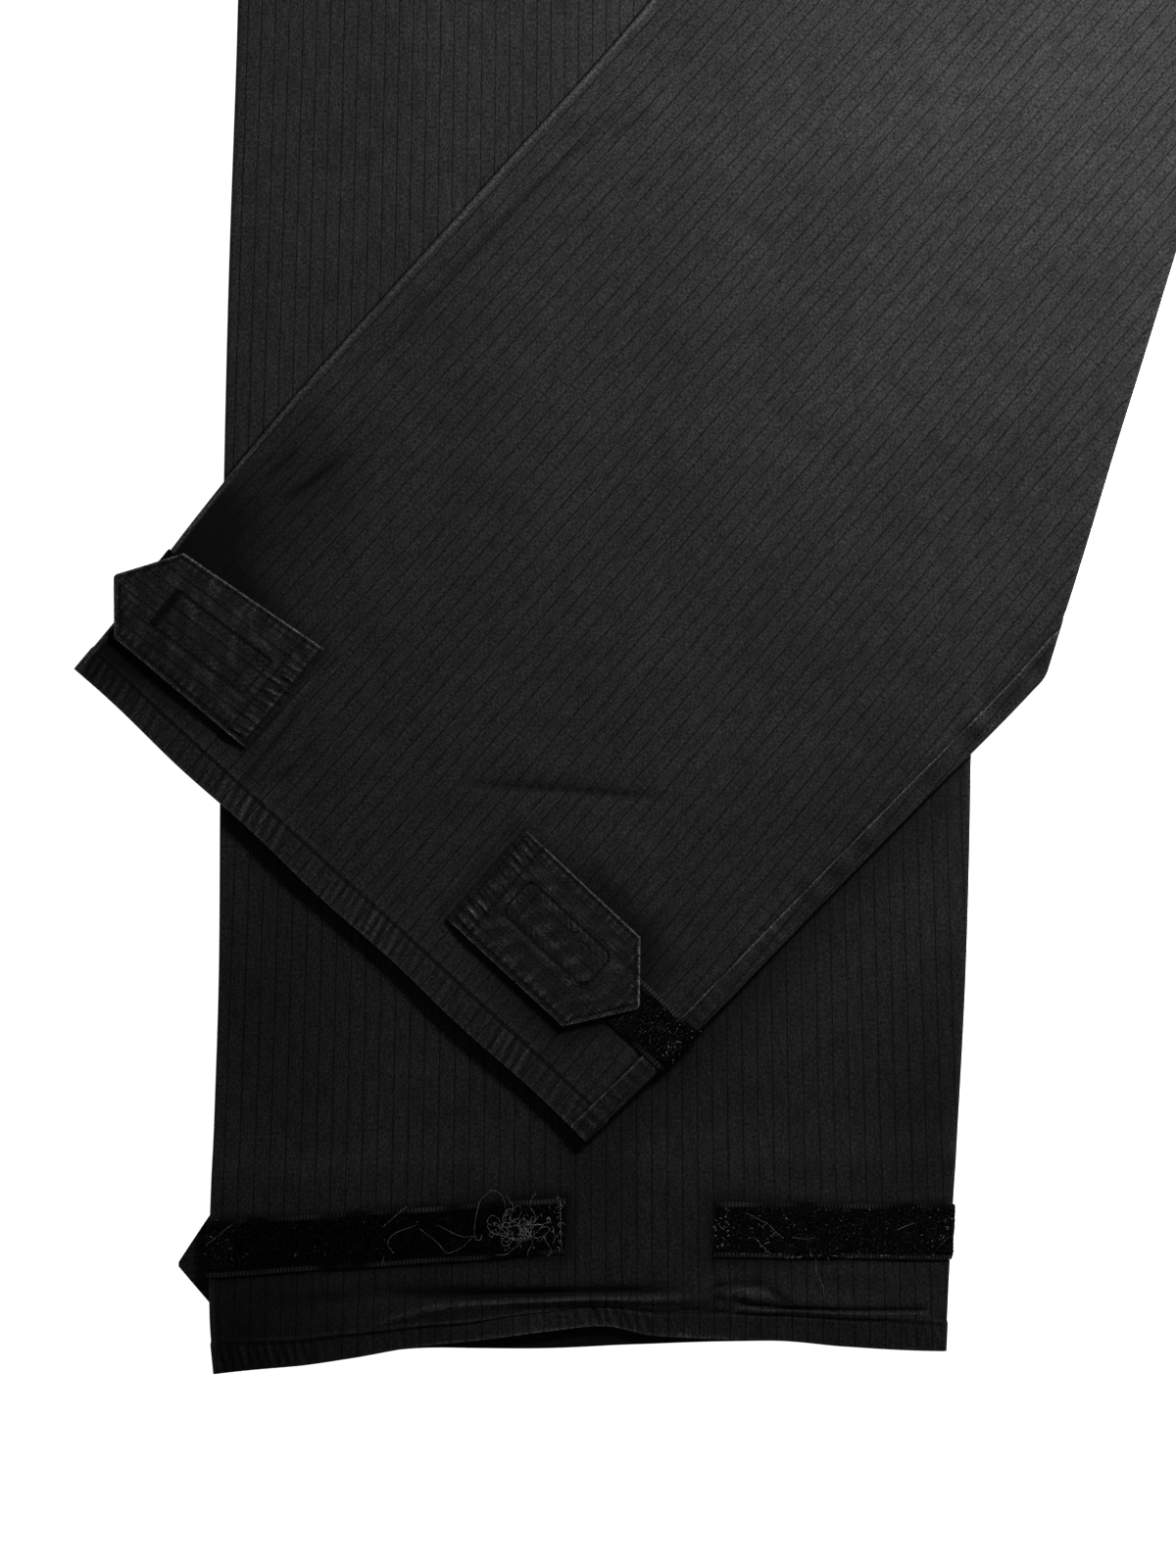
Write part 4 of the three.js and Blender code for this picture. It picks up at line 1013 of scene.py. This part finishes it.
def band_points(leg_name, side, out, lap):
    leg = LEGS[leg_name]
    ups = np.linspace(WAIST_SEAM, WAIST_TOP, BAND_ROWS)[:, None]
    _, _, _, width = plan(leg, ups, 0.0)
    edge_round = np.minimum(ups - ups[0], ups[-1] - ups)
    pad = -0.3 * np.exp(-edge_round / 1.2) + 0.08 * np.sin(ups * 0.9)
    columns = []
    for way in np.concatenate([[EDGE_START], np.linspace(0.25, 1, 5) * QUARTER_TURN]):
        inward, height = round_edge(side * way, out)
        x, y, _, _ = plan(leg, ups, inward)
        columns.append(stacked(x, y, height, np.zeros_like(ups)))
    end = width + lap if lap else width
    for t in np.linspace(0.02, 1, 50):
        inward = lerp(EDGE_RADIUS, end, t)
        rise = LAP_RISE * step01((inward - (width - 14)) / 12) if lap else 0.0
        bump = 0.1 * np.sin(inward / 5.1) * np.sin(ups / 3.0) + (pad if out >= 0 else 0)
        x, y, _, _ = plan(leg, ups, inward)
        height = EDGE_RADIUS + side * (EDGE_RADIUS + out + (bump if side > 0 else 0)) + rise
        columns.append(stacked(x, y, height, np.zeros_like(ups)))
    return np.stack([np.broadcast_to(c, (BAND_ROWS, 1, 4)).reshape(BAND_ROWS, 4) for c in columns], 1)


def band_uv(points):
    along, up = turned(points[..., 0], points[..., 1], BAND_LEAN)
    return np.stack([up, along], -1) / 1000


for leg_name, lap in (("right", 0.0), ("left", LAP)):
    outer = band_points(leg_name, 1, BAND_RAISE, lap)
    inner = band_points(leg_name, 1, -WALL, lap)
    name = f"waistband_front_{leg_name}"
    dress(shell(f"cloth_{name}", leg_name, outer, inner, CLOTH, uv=band_uv(outer), fold_lines=False), name)
back_rows = {}
for out in (0.0, -WALL):
    right = band_points("right", -1, out, 0.0)[:, :-1]
    left = band_points("left", -1, out, 0.0)[:, :-1][:, ::-1]
    back_rows[out] = np.concatenate([right, left], 1)
dress(shell("cloth_waistband_back", "right", back_rows[0.0], back_rows[-WALL], CLOTH,
            uv=band_uv(back_rows[0.0])), "waistband_back")


# Tabs

def tab_rim(spec, along, aside):
    """Distance in from a tab's nearest edge."""
    width, middle, slope = tab_span(spec, along)
    return np.minimum((width / 2 - np.abs(aside - middle)) * slope, along)


def tab_place(spec, along, aside, out):
    """A point on a tab. Out is from its panel-side face, so TAB_WALL is its outer face."""
    leg = LEGS[spec["leg"]]
    turn = math.radians(spec["turn"])
    slanted = along - TAB_SHAPES[spec["edge"]]["slant"] * aside
    inward = spec["base"] - slanted * math.cos(turn) + aside * math.sin(turn)
    up = spec["up"] + slanted * math.sin(turn) + aside * math.cos(turn)
    x, y, share, _ = plan(leg, up, inward, spec["edge"])
    risen = lerp(SEAM_GAP, TAB_STACK, np.clip(along / 11, 0, 1))
    return stacked(x, y, -risen - out, lift_at(leg, share, up))


def box_distance(spec, along, aside):
    """Distance out from the box stitch that holds the hook patch."""
    aside = aside - TAB_SHAPES[spec["edge"]]["box_aside"]
    long_half = (BOX_END[spec["edge"]] - BOX_START) / 2
    corner = BOX_CORNER[spec["edge"]]
    dx = np.maximum(np.abs(along - BOX_START - long_half) - long_half + corner, 0)
    dy = np.maximum(np.abs(aside) - BOX_HALF + corner, 0)
    inside = np.maximum(np.abs(along - BOX_START - long_half) - long_half, np.abs(aside) - BOX_HALF)
    return np.where((dx > 0) & (dy > 0), np.hypot(dx, dy) - corner, inside)


def tab_relief(spec, along, aside, seed):
    """Height of a tab's rolled rims, stitch grooves and puckers, and its tone: pale wear at the rims,
    painted shade in the grooves and hollows, painted light on the crests.
    """
    rim = tab_rim(spec, along, aside)
    box = box_distance(spec, along, aside)
    groove = bell(rim, RIM_ROW, 0.55)
    box_groove = bell(box, 0, 0.48)
    base_rows = bell(along, BASE_ROWS[0], 0.6) + bell(along, BASE_ROWS[1], 0.6)
    box_rows = bell(along, BOX_ROW, 0.6) * (box < 0)
    p = seed * 1.7
    ripple = wave(aside, 4.7, p + 1.3 * np.sin(aside / 7 + p)) + 0.6 * wave(aside, 2.9, 2 * p + 0.5 * along)
    ripple = ripple * (0.75 + 0.45 * np.sin(aside / 5.3 + 2.1 * p)) * bell(along, 7, 6.5)
    sides = wave(along, 4.4, p + 1.1 * np.sin(along / 9 + p)) * bell(rim, 3, 3.2)
    boxed = wave(along + aside, 3.9, p) * bell(box, -1.5, 2.6)
    stripes = wave(aside, 3.4, 0.3 * np.sin(along / 17))
    puckers = 0.3 * ripple + 0.2 * sides + 0.12 * boxed
    rng = np.random.default_rng(70 + seed)
    crumple = 0.0
    for _ in range(7):
        angle, length, phase = rng.uniform(0, math.pi), rng.uniform(7, 19), rng.uniform(0, 6.3)
        crumple = crumple + wave(turned(along, aside, angle)[0], length, phase)
    crumple = crumple / 7
    relief = (-0.3 * bell(rim, 0, 0.4) + 0.12 * bell(rim, 1.0, 0.6)
              - 0.4 * groove - 0.4 * box_groove - 0.35 * base_rows - 0.3 * box_rows
              + 0.22 * bell(box, 2.6, 1.9) + 0.2 * bell(rim, 4.6, 1.6)
              + puckers + 0.3 * crumple)
    sharp = bell(rim, 0.3, 0.4) * step01((along - 0.8) / 1.2)
    tip_bar = 0.0
    if spec["edge"] == "outer":
        tip_bar = np.exp(-((along - BOX_END["outer"] + 1.2) / 2.1) ** 4)
        tip_bar = tip_bar * (np.abs(box) < 6) * (np.abs(aside) < BOX_HALF + 0.6)
    # Tone: pale worn rim; painted light on pucker and crumple crests and beside the box, painted shade in
    # their hollows, in the stitch grooves and at the base; a dark bar at the outer box's tip end.
    tone = (1.3 * sharp + 1.1 * puckers - 0.42 * groove - 0.85 * box_groove - 0.6 * base_rows
            - 0.5 * box_rows + 0.05 * stripes + 0.35 * crumple - 0.95 * tip_bar
            + 0.1 * bell(box, 2.6, 1.9) - 0.6 * bell(along, 0, 0.9))
    return relief, np.clip(tone, -0.92, 1.5)


def make_tab(spec, index):
    shape = TAB_SHAPES[spec["edge"]]
    base_rows, rows, tip_rows, rim_columns, columns = TAB_GRID[spec["leg"]]
    along = np.concatenate([
        np.linspace(0, 14, base_rows), np.linspace(14.5, shape["shoulder"], rows),
        np.linspace(shape["shoulder"], shape["tip"], tip_rows)[1:]])
    shares = np.concatenate([np.linspace(-0.5, -0.4, rim_columns), np.linspace(-0.39, 0.39, columns),
                             np.linspace(0.4, 0.5, rim_columns)])
    a = along[:, None]
    width, middle, _ = tab_span(spec, a)
    s = middle + width * shares[None, :]
    relief, wear_and_shade_tone = tab_relief(spec, a, s, index)
    outer = tab_place(spec, a, s, TAB_WALL + relief)
    inner = tab_place(spec, a, s, np.zeros_like(s))
    name = node_name(spec, "tab")
    uv = stacked(s / 1000 + 0.0021 * index, a / 1000)
    piece = shell(f"cloth_{name}", spec["leg"], outer, inner, TAB_CLOTH, uv=uv, wear_and_shade_tone=wear_and_shade_tone, fold_lines=False)
    dress(piece, name)


def make_hook(spec):
    a = np.linspace(HOOK["start"], HOOK["end"], 24)[:, None]
    s = np.linspace(-0.5, 0.5, 12)[None, :] * HOOK["width"]
    s = s + TAB_SHAPES[spec["edge"]]["box_aside"]
    a, s = np.broadcast_arrays(a, s)
    outer = tab_place(spec, a, s, -SEAM_GAP)
    inner = tab_place(spec, a, s, -SEAM_GAP - FASTENER_WALL * 0.9)
    name = node_name(spec, "hook")
    uv = np.stack([a / 1000, s / 1000], -1)
    piece = shell(f"tape_{name}", spec["leg"], outer, inner, HOOKS, uv=uv, fold_lines=False)
    dress(piece, name)


for index, spec in enumerate(TABS):
    make_tab(spec, index)
    make_hook(spec)


# Loop tapes

def tape_place(spec, way, share, out):
    """A point on a tape: signed way round the side edge, share across its width, out from the leg's skin."""
    leg = LEGS[spec["leg"]]
    fell = 0.0
    if spec["edge"] == "inner" and spec["leg"] == "left":
        past = -way - QUARTER_TURN - FELL_WIDTH - 3
        fell = FELL_RAISE * np.clip(-way / QUARTER_TURN, 0, 1) * (1 - np.clip(past / 3, 0, 1)) * (way < 0)
    inward, height = round_edge(way, out + fell)
    reach = np.clip(np.where(way > 0, way / spec["front"], -way / spec["back"]), 0, 1)
    middle = lerp(spec["up_edge"], np.where(way > 0, spec["up_front"], spec["up_back"]), reach)
    wavy = 0.15 * np.sin(way / 9.0) * np.sign(share)
    up = middle + share * TAPE_WIDTH + wavy
    x, y, over, _ = plan(leg, up, inward, spec["edge"])
    return stacked(x, y, height, lift_at(leg, over, up))


def make_tape(spec, index):
    back = np.linspace(-(QUARTER_TURN + spec["back"]), -QUARTER_TURN, max(4, int(spec["back"] / 2)))[:-1]
    turn = np.linspace(-1, 1, 15) * QUARTER_TURN
    front = np.linspace(QUARTER_TURN, QUARTER_TURN + spec["front"], int(spec["front"] / 1.8))[1:]
    ways = np.concatenate([back, turn, front])[:, None]
    shares = np.linspace(-0.5, 0.5, 17)[None, :]
    w, s = np.broadcast_arrays(ways, shares)
    end = np.minimum(w - w.min(), w.max() - w)
    rim = np.minimum(np.abs(np.abs(s) - 0.5) * TAPE_WIDTH, end)
    relief = -0.45 * bell(rim, 0, 0.8) - 0.25 * bell(np.abs(s) * TAPE_WIDTH, 10.4, 0.5)
    relief = relief + 0.12 * np.sin(w / 3.7 + index) * np.sin(s * 14 + w / 11)
    outer = tape_place(spec, w, s, SEAM_GAP + FASTENER_WALL + relief)
    inner = tape_place(spec, w, s, SEAM_GAP + 0 * s)
    name = node_name(spec, "loop")
    uv = np.stack([w / 1000, s * TAPE_WIDTH / 1000], -1)
    fuzz = bell(w, 4, 12) * 0.6 if spec["edge"] == "outer" else 1.0 + 0.0 * w
    piece = shell(f"tape_{name}", spec["leg"], outer, inner, TAPE, uv=uv, wear_and_shade_tone=fuzz, fold_lines=False)
    dress(piece, name)


for index, spec in enumerate(TAPES):
    make_tape(spec, index)


# Threads and fibres: many small rods joined into one mesh

def rods(name, paths, radius, sides, material):
    """paths is a list of (n, 3) arrays in metres; each becomes a thin closed rod that tapers at its ends."""
    verts, faces = [], []
    base = 0
    angles = np.arange(sides) * 2 * math.pi / sides
    for path in paths:
        path = np.asarray(path, float)
        count = len(path)
        tangent = np.gradient(path, axis=0)
        tangent /= np.maximum(np.linalg.norm(tangent, axis=1, keepdims=True), 1e-12)
        aside = np.cross(tangent, (0.13, 0.21, 0.97))
        aside /= np.maximum(np.linalg.norm(aside, axis=1, keepdims=True), 1e-9)
        above = np.cross(aside, tangent)
        size = np.full(count, radius)
        size[[0, -1]] *= 0.45
        ring = (path[:, None] + size[:, None, None] * (
            np.cos(angles)[None, :, None] * aside[:, None] + np.sin(angles)[None, :, None] * above[:, None]))
        verts.append(ring.reshape(-1, 3))
        for k in range(count - 1):
            for i in range(sides):
                j = (i + 1) % sides
                faces.append((base + k * sides + i, base + k * sides + j,
                              base + (k + 1) * sides + j, base + (k + 1) * sides + i))
        faces.append(tuple(base + i for i in range(sides))[::-1])
        faces.append(tuple(base + (count - 1) * sides + i for i in range(sides)))
        base += count * sides
    obj = make_object(name, np.concatenate(verts), faces, material)
    obj.data.shade_smooth()
    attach(obj, "root")
    return obj


def carry(kind, name, paths, radius, sides, material):
    """Threads or fibres as one object named after the piece they lie on."""
    rods(f"{kind}_{name}", paths, radius, sides, material)


def stitch_line(length, place, pitch=STITCH_PITCH, seed=0, sink=0.12):
    """Stitches along a line. place(distance, sideways, out) gives row-frame points."""
    rng = np.random.default_rng(seed)
    made = []
    count = int(length / pitch)
    for k in range(count):
        middle = (k + 0.5) * pitch
        reach = np.array([-0.36, -0.18, 0.0, 0.18, 0.36]) * pitch
        wobble = rng.normal(0, 0.04)
        skew = rng.normal(0, 0.06)
        out = np.array([-sink, 0.16, 0.24, 0.16, -sink])
        made.append(place(middle + reach, wobble + skew * reach, out))
    return made


def hem_stitches(leg_name, side, start, end, seed):
    def place(distance, sideways, out):
        inward = start + distance
        up = hem_line(leg_name, side, inward) + sideways
        point = panel_surface(leg_name, side, up, inward, out + HEM_RAISE * 0.5)
        return settle(leg_name, point)
    return stitch_line(end - start, place, seed=seed)


def fell_stitches(offset, seed):
    def place(distance, sideways, out):
        leg = LEGS["left"]
        up = 14 + distance
        _, _, _, width = plan(leg, up, 0.0)
        way = -(QUARTER_TURN + offset + sideways)
        inward, height = round_edge(way, FELL_RAISE + out)
        point = finish_point(leg, 1, up, width - inward, (width - inward) / width, height)
        return settle("left", point)
    return stitch_line(268, place, seed=seed)


def through(points, count):
    """Smooth path of count points through given ones, both in a tape's or tab's own plane."""
    table = np.concatenate([np.arange(len(points), dtype=float)[:, None], np.array(points, float)], 1)
    if len(points) == 2:
        table = np.array([table[0], (table[0] + table[1]) / 2, table[1]])
        table[:, 0] = (0, 0.5, 1)
    at = np.linspace(0, table[-1, 0], count)
    return np.stack([curve(table, at, 1), curve(table, at, 2)], -1)


def tab_stitches(spec, index):
    shape = TAB_SHAPES[spec["edge"]]
    box_aside = shape["box_aside"]
    made = []

    def run(start, end, seed):
        start, end = np.array(start, float), np.array(end, float)
        length = float(np.linalg.norm(end - start))
        direction = (end - start) / length

        def place(distance, sideways, out):
            a = start[0] + direction[0] * distance - direction[1] * sideways
            s = start[1] + direction[1] * distance + direction[0] * sideways
            relief, _ = tab_relief(spec, a, s, index)
            return settle(spec["leg"], tab_place(spec, a, s, TAB_WALL + relief + out + 0.1), 0.22)
        made.extend(stitch_line(length, place, seed=seed))

    end = BOX_END[spec["edge"]]
    for sign in (-1, 1):
        shoulder = (shape["shoulder"] - 0.6, sign * (shape["wide"] / 2 - RIM_ROW))
        run((1.5, sign * (shape["base"] / 2 - RIM_ROW)), shoulder, 31 + index + sign)
        run(shoulder, (shape["tip"] - 4.0, shape["tip_aside"] + sign * 0.6), 41 + index + sign)
        run((BOX_START, box_aside + sign * BOX_HALF), (end, box_aside + sign * BOX_HALF), 51 + index + sign)
    rows = [(BASE_ROWS[0], 26), (BASE_ROWS[1], 25)] + [(row, BOX_HALF) for row in (BOX_START, BOX_ROW, end)]
    for row, reach in rows:
        run((row, box_aside - reach), (row, box_aside + reach), 61 + index + int(row))
    for thread in LOOSE_ENDS.get((spec["leg"], spec["edge"]), []):
        path = through(thread, 4 * len(thread))
        rise = TAB_WALL + 0.25 + 0.9 * np.sin(np.linspace(0, math.pi, len(path)))
        made.append(settle(spec["leg"], tab_place(spec, path[:, 0], path[:, 1], rise)))
    return made


hems = {}
for key, end in ((("right", 1), 331), (("left", -1), 304), (("right", -1), 320), (("left", 1), 312)):
    hems[key] = hem_stitches(*key, 5, end, len(hems))
fell = fell_stitches(FELL_ROWS[0], 5) + fell_stitches(FELL_ROWS[1], 6)
for name, paths, sides in (("right_front", hems["right", 1], 5), ("right_back", hems["right", -1], 4),
                           ("left_back", hems["left", -1], 5), ("left_front", fell + hems["left", 1], 5)):
    carry("stitches", name, paths, THREAD_RADIUS, sides, THREAD)
for index, spec in enumerate(TABS):
    carry("stitches", node_name(spec, "tab"), tab_stitches(spec, index), TAB_THREAD_RADIUS, 5, THREAD)


def tape_pile(spec, index, count):
    """Short crooked fibres all over a tape's outer face."""
    rng = np.random.default_rng(100 + index)
    made = []
    for _ in range(count):
        way = rng.uniform(-(QUARTER_TURN + spec["back"]), QUARTER_TURN + spec["front"])
        share = rng.uniform(-0.42, 0.42)
        lean = rng.uniform(0, 2 * math.pi)
        length = rng.uniform(0.6, 2.0)
        t = np.linspace(0, 1, 4)
        w = way + math.cos(lean) * length * t + rng.normal(0, 0.15, 4)
        s = share + (math.sin(lean) * length * t + rng.normal(0, 0.15, 4)) / TAPE_WIDTH
        hump = np.sin(t * math.pi * rng.uniform(0.5, 1.0)) * rng.uniform(0.4, 1.3)
        out = SEAM_GAP + FASTENER_WALL - 0.1 + 0.55 * hump
        made.append(settle(spec["leg"], tape_place(spec, w, s, out)))
    return made


for index, spec in enumerate(TAPES):
    paths = tape_pile(spec, index, PILE_COUNT[spec["leg"]])
    carry("pile", node_name(spec, "loop"), paths, PILE_RADIUS, 3, PILE)


def curl(rng, start, heading, length, bend, points=14):
    """A wandering hair in a tape's own plane: way and sideways millimetres."""
    step = length / (points - 1)
    at = [np.array(start, float)]
    turn = rng.normal(0, bend)
    for _ in range(points - 1):
        turn = 0.7 * turn + rng.normal(0, bend)
        heading += turn
        at.append(at[-1] + step * np.array([math.cos(heading), math.sin(heading)]))
    return np.array(at)


def on_tape(spec, path, hump):
    """Row-frame points of a hair that lies on a tape, or on the cloth beside it."""
    out = SEAM_GAP + FASTENER_WALL + 0.05 + hump * np.sin(np.linspace(0.1, math.pi - 0.1, len(path)))
    return settle(spec["leg"], tape_place(spec, path[:, 0], path[:, 1] / TAPE_WIDTH, out))


def lint_on(spec, hairs, piles, dots, seed):
    """Pale fibres caught on a tape. hairs: paths. piles rows: way, side, spreads, number, length, bend."""
    rng = np.random.default_rng(seed)
    made = []
    for hair in hairs:
        made.append(on_tape(spec, through(hair, 6 * len(hair)), 0.5))
    for way, side, spread_way, spread_side, count, length, bend in piles:
        for _ in range(count):
            at = (way + rng.normal(0, spread_way), side + rng.normal(0, spread_side))
            path = curl(rng, at, rng.uniform(0, 2 * math.pi), length * rng.uniform(0.5, 1.4), bend)
            path[:, 1] = np.clip(path[:, 1], -13.5 + rng.uniform(0, 3), 15)
            made.append(on_tape(spec, path, rng.uniform(0.1, 0.9)))
    for way, side in dots:
        at = np.array([(way, side), (way + 0.35, side + 0.1), (way + 0.6, side - 0.15)])
        made.append(on_tape(spec, at, 0.3))
    return made


lint_outer = lint_on(
    TAPES[0], OUTER_HAIRS,
    [(146, -1, 8.0, 5.0, 24, 14, 0.3), (149, -2, 5.0, 4.0, 26, 7, 0.5), (136, 2, 4, 3, 8, 9, 0.4),
     (158, 8, 3, 3, 12, 2, 0.8), (66, 0, 28, 5.0, 16, 1.6, 0.6), (6, 0, 5, 6, 26, 0.9, 0.6),
     (161.9, 0, 0.4, 6.5, 26, 2.0, 0.3)],
    [(24.0, 1.4), (75.5, 7.3), (47.4, 6.4), (57.8, -4.4), (109.4, 6.7)], 7)
lint_inner = lint_on(
    TAPES[1], INNER_HAIRS,
    [(106, -1, 1.8, 4.2, 26, 3.0, 0.7), (88, 0, 11, 5.0, 26, 1.8, 0.7), (40, 0, 18, 5.5, 26, 1.1, 0.6),
     (5, 0, 4, 6, 26, 1.6, 0.6), (58, -11.6, 26, 0.4, 36, 2.0, 0.2)],
    [(48.7, 8.9)], 8)
lint_left = lint_on(TAPES[3], [], [(-14, 0, 6, 5.5, 46, 0.7, 0.6), (-4, 0, 2.0, 6, 26, 1.4, 0.6)], [], 9)


def cloth_hairs():
    """Frayed threads at the straight leg's hem."""
    rng = np.random.default_rng(12)
    made = []
    for _ in range(14):
        inward = rng.uniform(214, 236)
        ups = np.linspace(0.2, 1.5 + rng.uniform(0, 1.0), 5)
        aside = inward + rng.normal(0, 0.5) * np.linspace(0, 1, 5)
        made.append(settle("right", panel_surface("right", 1, ups, aside, HEM_RAISE + 0.12)))
    return made


for name, paths, radius in (
        ("right_loop_outer", lint_outer, LINT_RADIUS), ("right_loop_inner", lint_inner, LINT_RADIUS),
        ("left_loop_inner", lint_left, FINE_LINT_RADIUS), ("right_front", cloth_hairs(), FRAY_RADIUS)):
    rods(f"lint_{name}", paths, radius, 3, LINT)


# Button

def make_button():
    x, y = button_layout()
    base = TUBE + BAND_RAISE + LAP_RISE + SEAM_GAP
    sides = BUTTON_SIDES
    verts, faces = [], []
    for radius, height in BUTTON_PROFILE:
        for i in range(sides):
            angle = 2 * math.pi * i / sides
            verts.append(((x + CROTCH[0] + radius * math.cos(angle)) / 1000,
                          (y + CROTCH[1] + radius * math.sin(angle)) / 1000, (base + height) / 1000))
    for k in range(len(BUTTON_PROFILE) - 1):
        for i in range(sides):
            j = (i + 1) % sides
            faces.append((k * sides + i, k * sides + j, (k + 1) * sides + j, (k + 1) * sides + i))
    obj = make_object("button_disc", verts, faces, BUTTON)
    bm = bmesh.new()
    bm.from_mesh(obj.data)
    bmesh.ops.remove_doubles(bm, verts=bm.verts[:], dist=1e-6)
    bm.to_mesh(obj.data)
    bm.free()
    obj.data.shade_smooth()
    obj.data.set_sharp_from_angle(angle=math.radians(40))
    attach(obj, "root")
    dress(obj, "button")


make_button()


# What each sheet was cut from, listed; only the pieces each rests on are looked up

def declare(name, flat, held, rests_on, area):
    [cloth[r].name for r in rests_on]


for name, flat, held, rests_on, area in (
        ("right_back", (0.345, 1.02), "laid", [], 0.319),
        ("right_front", (0.366, 1.02), "laid", ["right_back"], 0.333),
        ("left_back", (0.335, 1.02), "folded", ["right_front"], 0.303),
        ("left_front", (0.352, 1.02), "folded", ["right_front"], 0.318)):
    declare(name, flat, held, rests_on, area)
for name, length, rests_on in (("back", 0.442, []), ("front_right", 0.222, ["waistband_back"]),
                               ("front_left", 0.250, ["waistband_back"])):
    declare(f"waistband_{name}", (length, 0.040), "laid", rests_on, None)
for spec in TABS:
    name = node_name(spec, "tab")
    shape = TAB_SHAPES[spec["edge"]]
    area = 0.00475 if spec["edge"] == "outer" else 0.00452
    declare(name, (shape["base"] / 1000, shape["tip"] / 1000), "laid", [f"{spec['leg']}_back"], area)
    declare(node_name(spec, "hook"), (0.019, 0.051), "laid", [name], None)
for spec in TAPES:
    name = node_name(spec, "loop")
    length = (spec["back"] + spec["front"] + 2 * QUARTER_TURN) / 1000
    declare(name, (0.025, length), "laid", [f"{spec['leg']}_front"], None)


# Floor, light and camera

def box_mesh(name, low, high, material):
    verts = [(x, y, z) for x in (low[0], high[0]) for y in (low[1], high[1]) for z in (low[2], high[2])]
    faces = [(0, 1, 3, 2), (4, 6, 7, 5), (0, 4, 5, 1), (2, 3, 7, 6), (0, 2, 6, 4), (1, 5, 7, 3)]
    return make_object(name, verts, faces, material)


floor = box_mesh("floor", (-6, -6, -0.02), (6, 6, -0.0002), floor_material("pale_floor"))

scene = bpy.context.scene
world = bpy.data.worlds.new("room")
world.use_nodes = True
background = world.node_tree.nodes["Background"]
background.inputs["Color"].default_value = (1.0, 1.0, 1.0, 1)
background.inputs["Strength"].default_value = ROOM_LIGHT
scene.world = world


def area_light(name, place, target, size, power):
    data = bpy.data.lights.new(name, "AREA")
    data.shape = "DISK"
    data.size = size
    data.energy = power
    lamp = bpy.data.objects.new(name, data)
    scene.collection.objects.link(lamp)
    lamp.location = place
    lamp.rotation_mode = "QUATERNION"
    lamp.rotation_quaternion = (Vector(target) - Vector(place)).to_track_quat("-Z", "Y")
    return lamp


view_x, view_y = ((CROTCH[k] + VIEW_MIDDLE[k]) / 1000 for k in (0, 1))
key_x, key_y = view_x + KEY_ASIDE[0], view_y + KEY_ASIDE[1]
area_light("key", (key_x, key_y, KEY_HEIGHT), (key_x - KEY_LEAN, key_y - KEY_LEAN, 0.0), KEY_SIZE, KEY_POWER)
camera_data = bpy.data.cameras.new("camera")
camera_data.sensor_width = FILM
camera_data.lens = LENS
camera_data.dof.use_dof = False
camera = bpy.data.objects.new("camera", camera_data)
scene.collection.objects.link(camera)
camera.location = (view_x, view_y, VIEW_HIGH * LENS / FILM + FOCUS_HEIGHT)
camera_data.clip_start, camera_data.clip_end = 0.05, 60
scene.camera = camera
scene.view_settings.view_transform = "Standard"
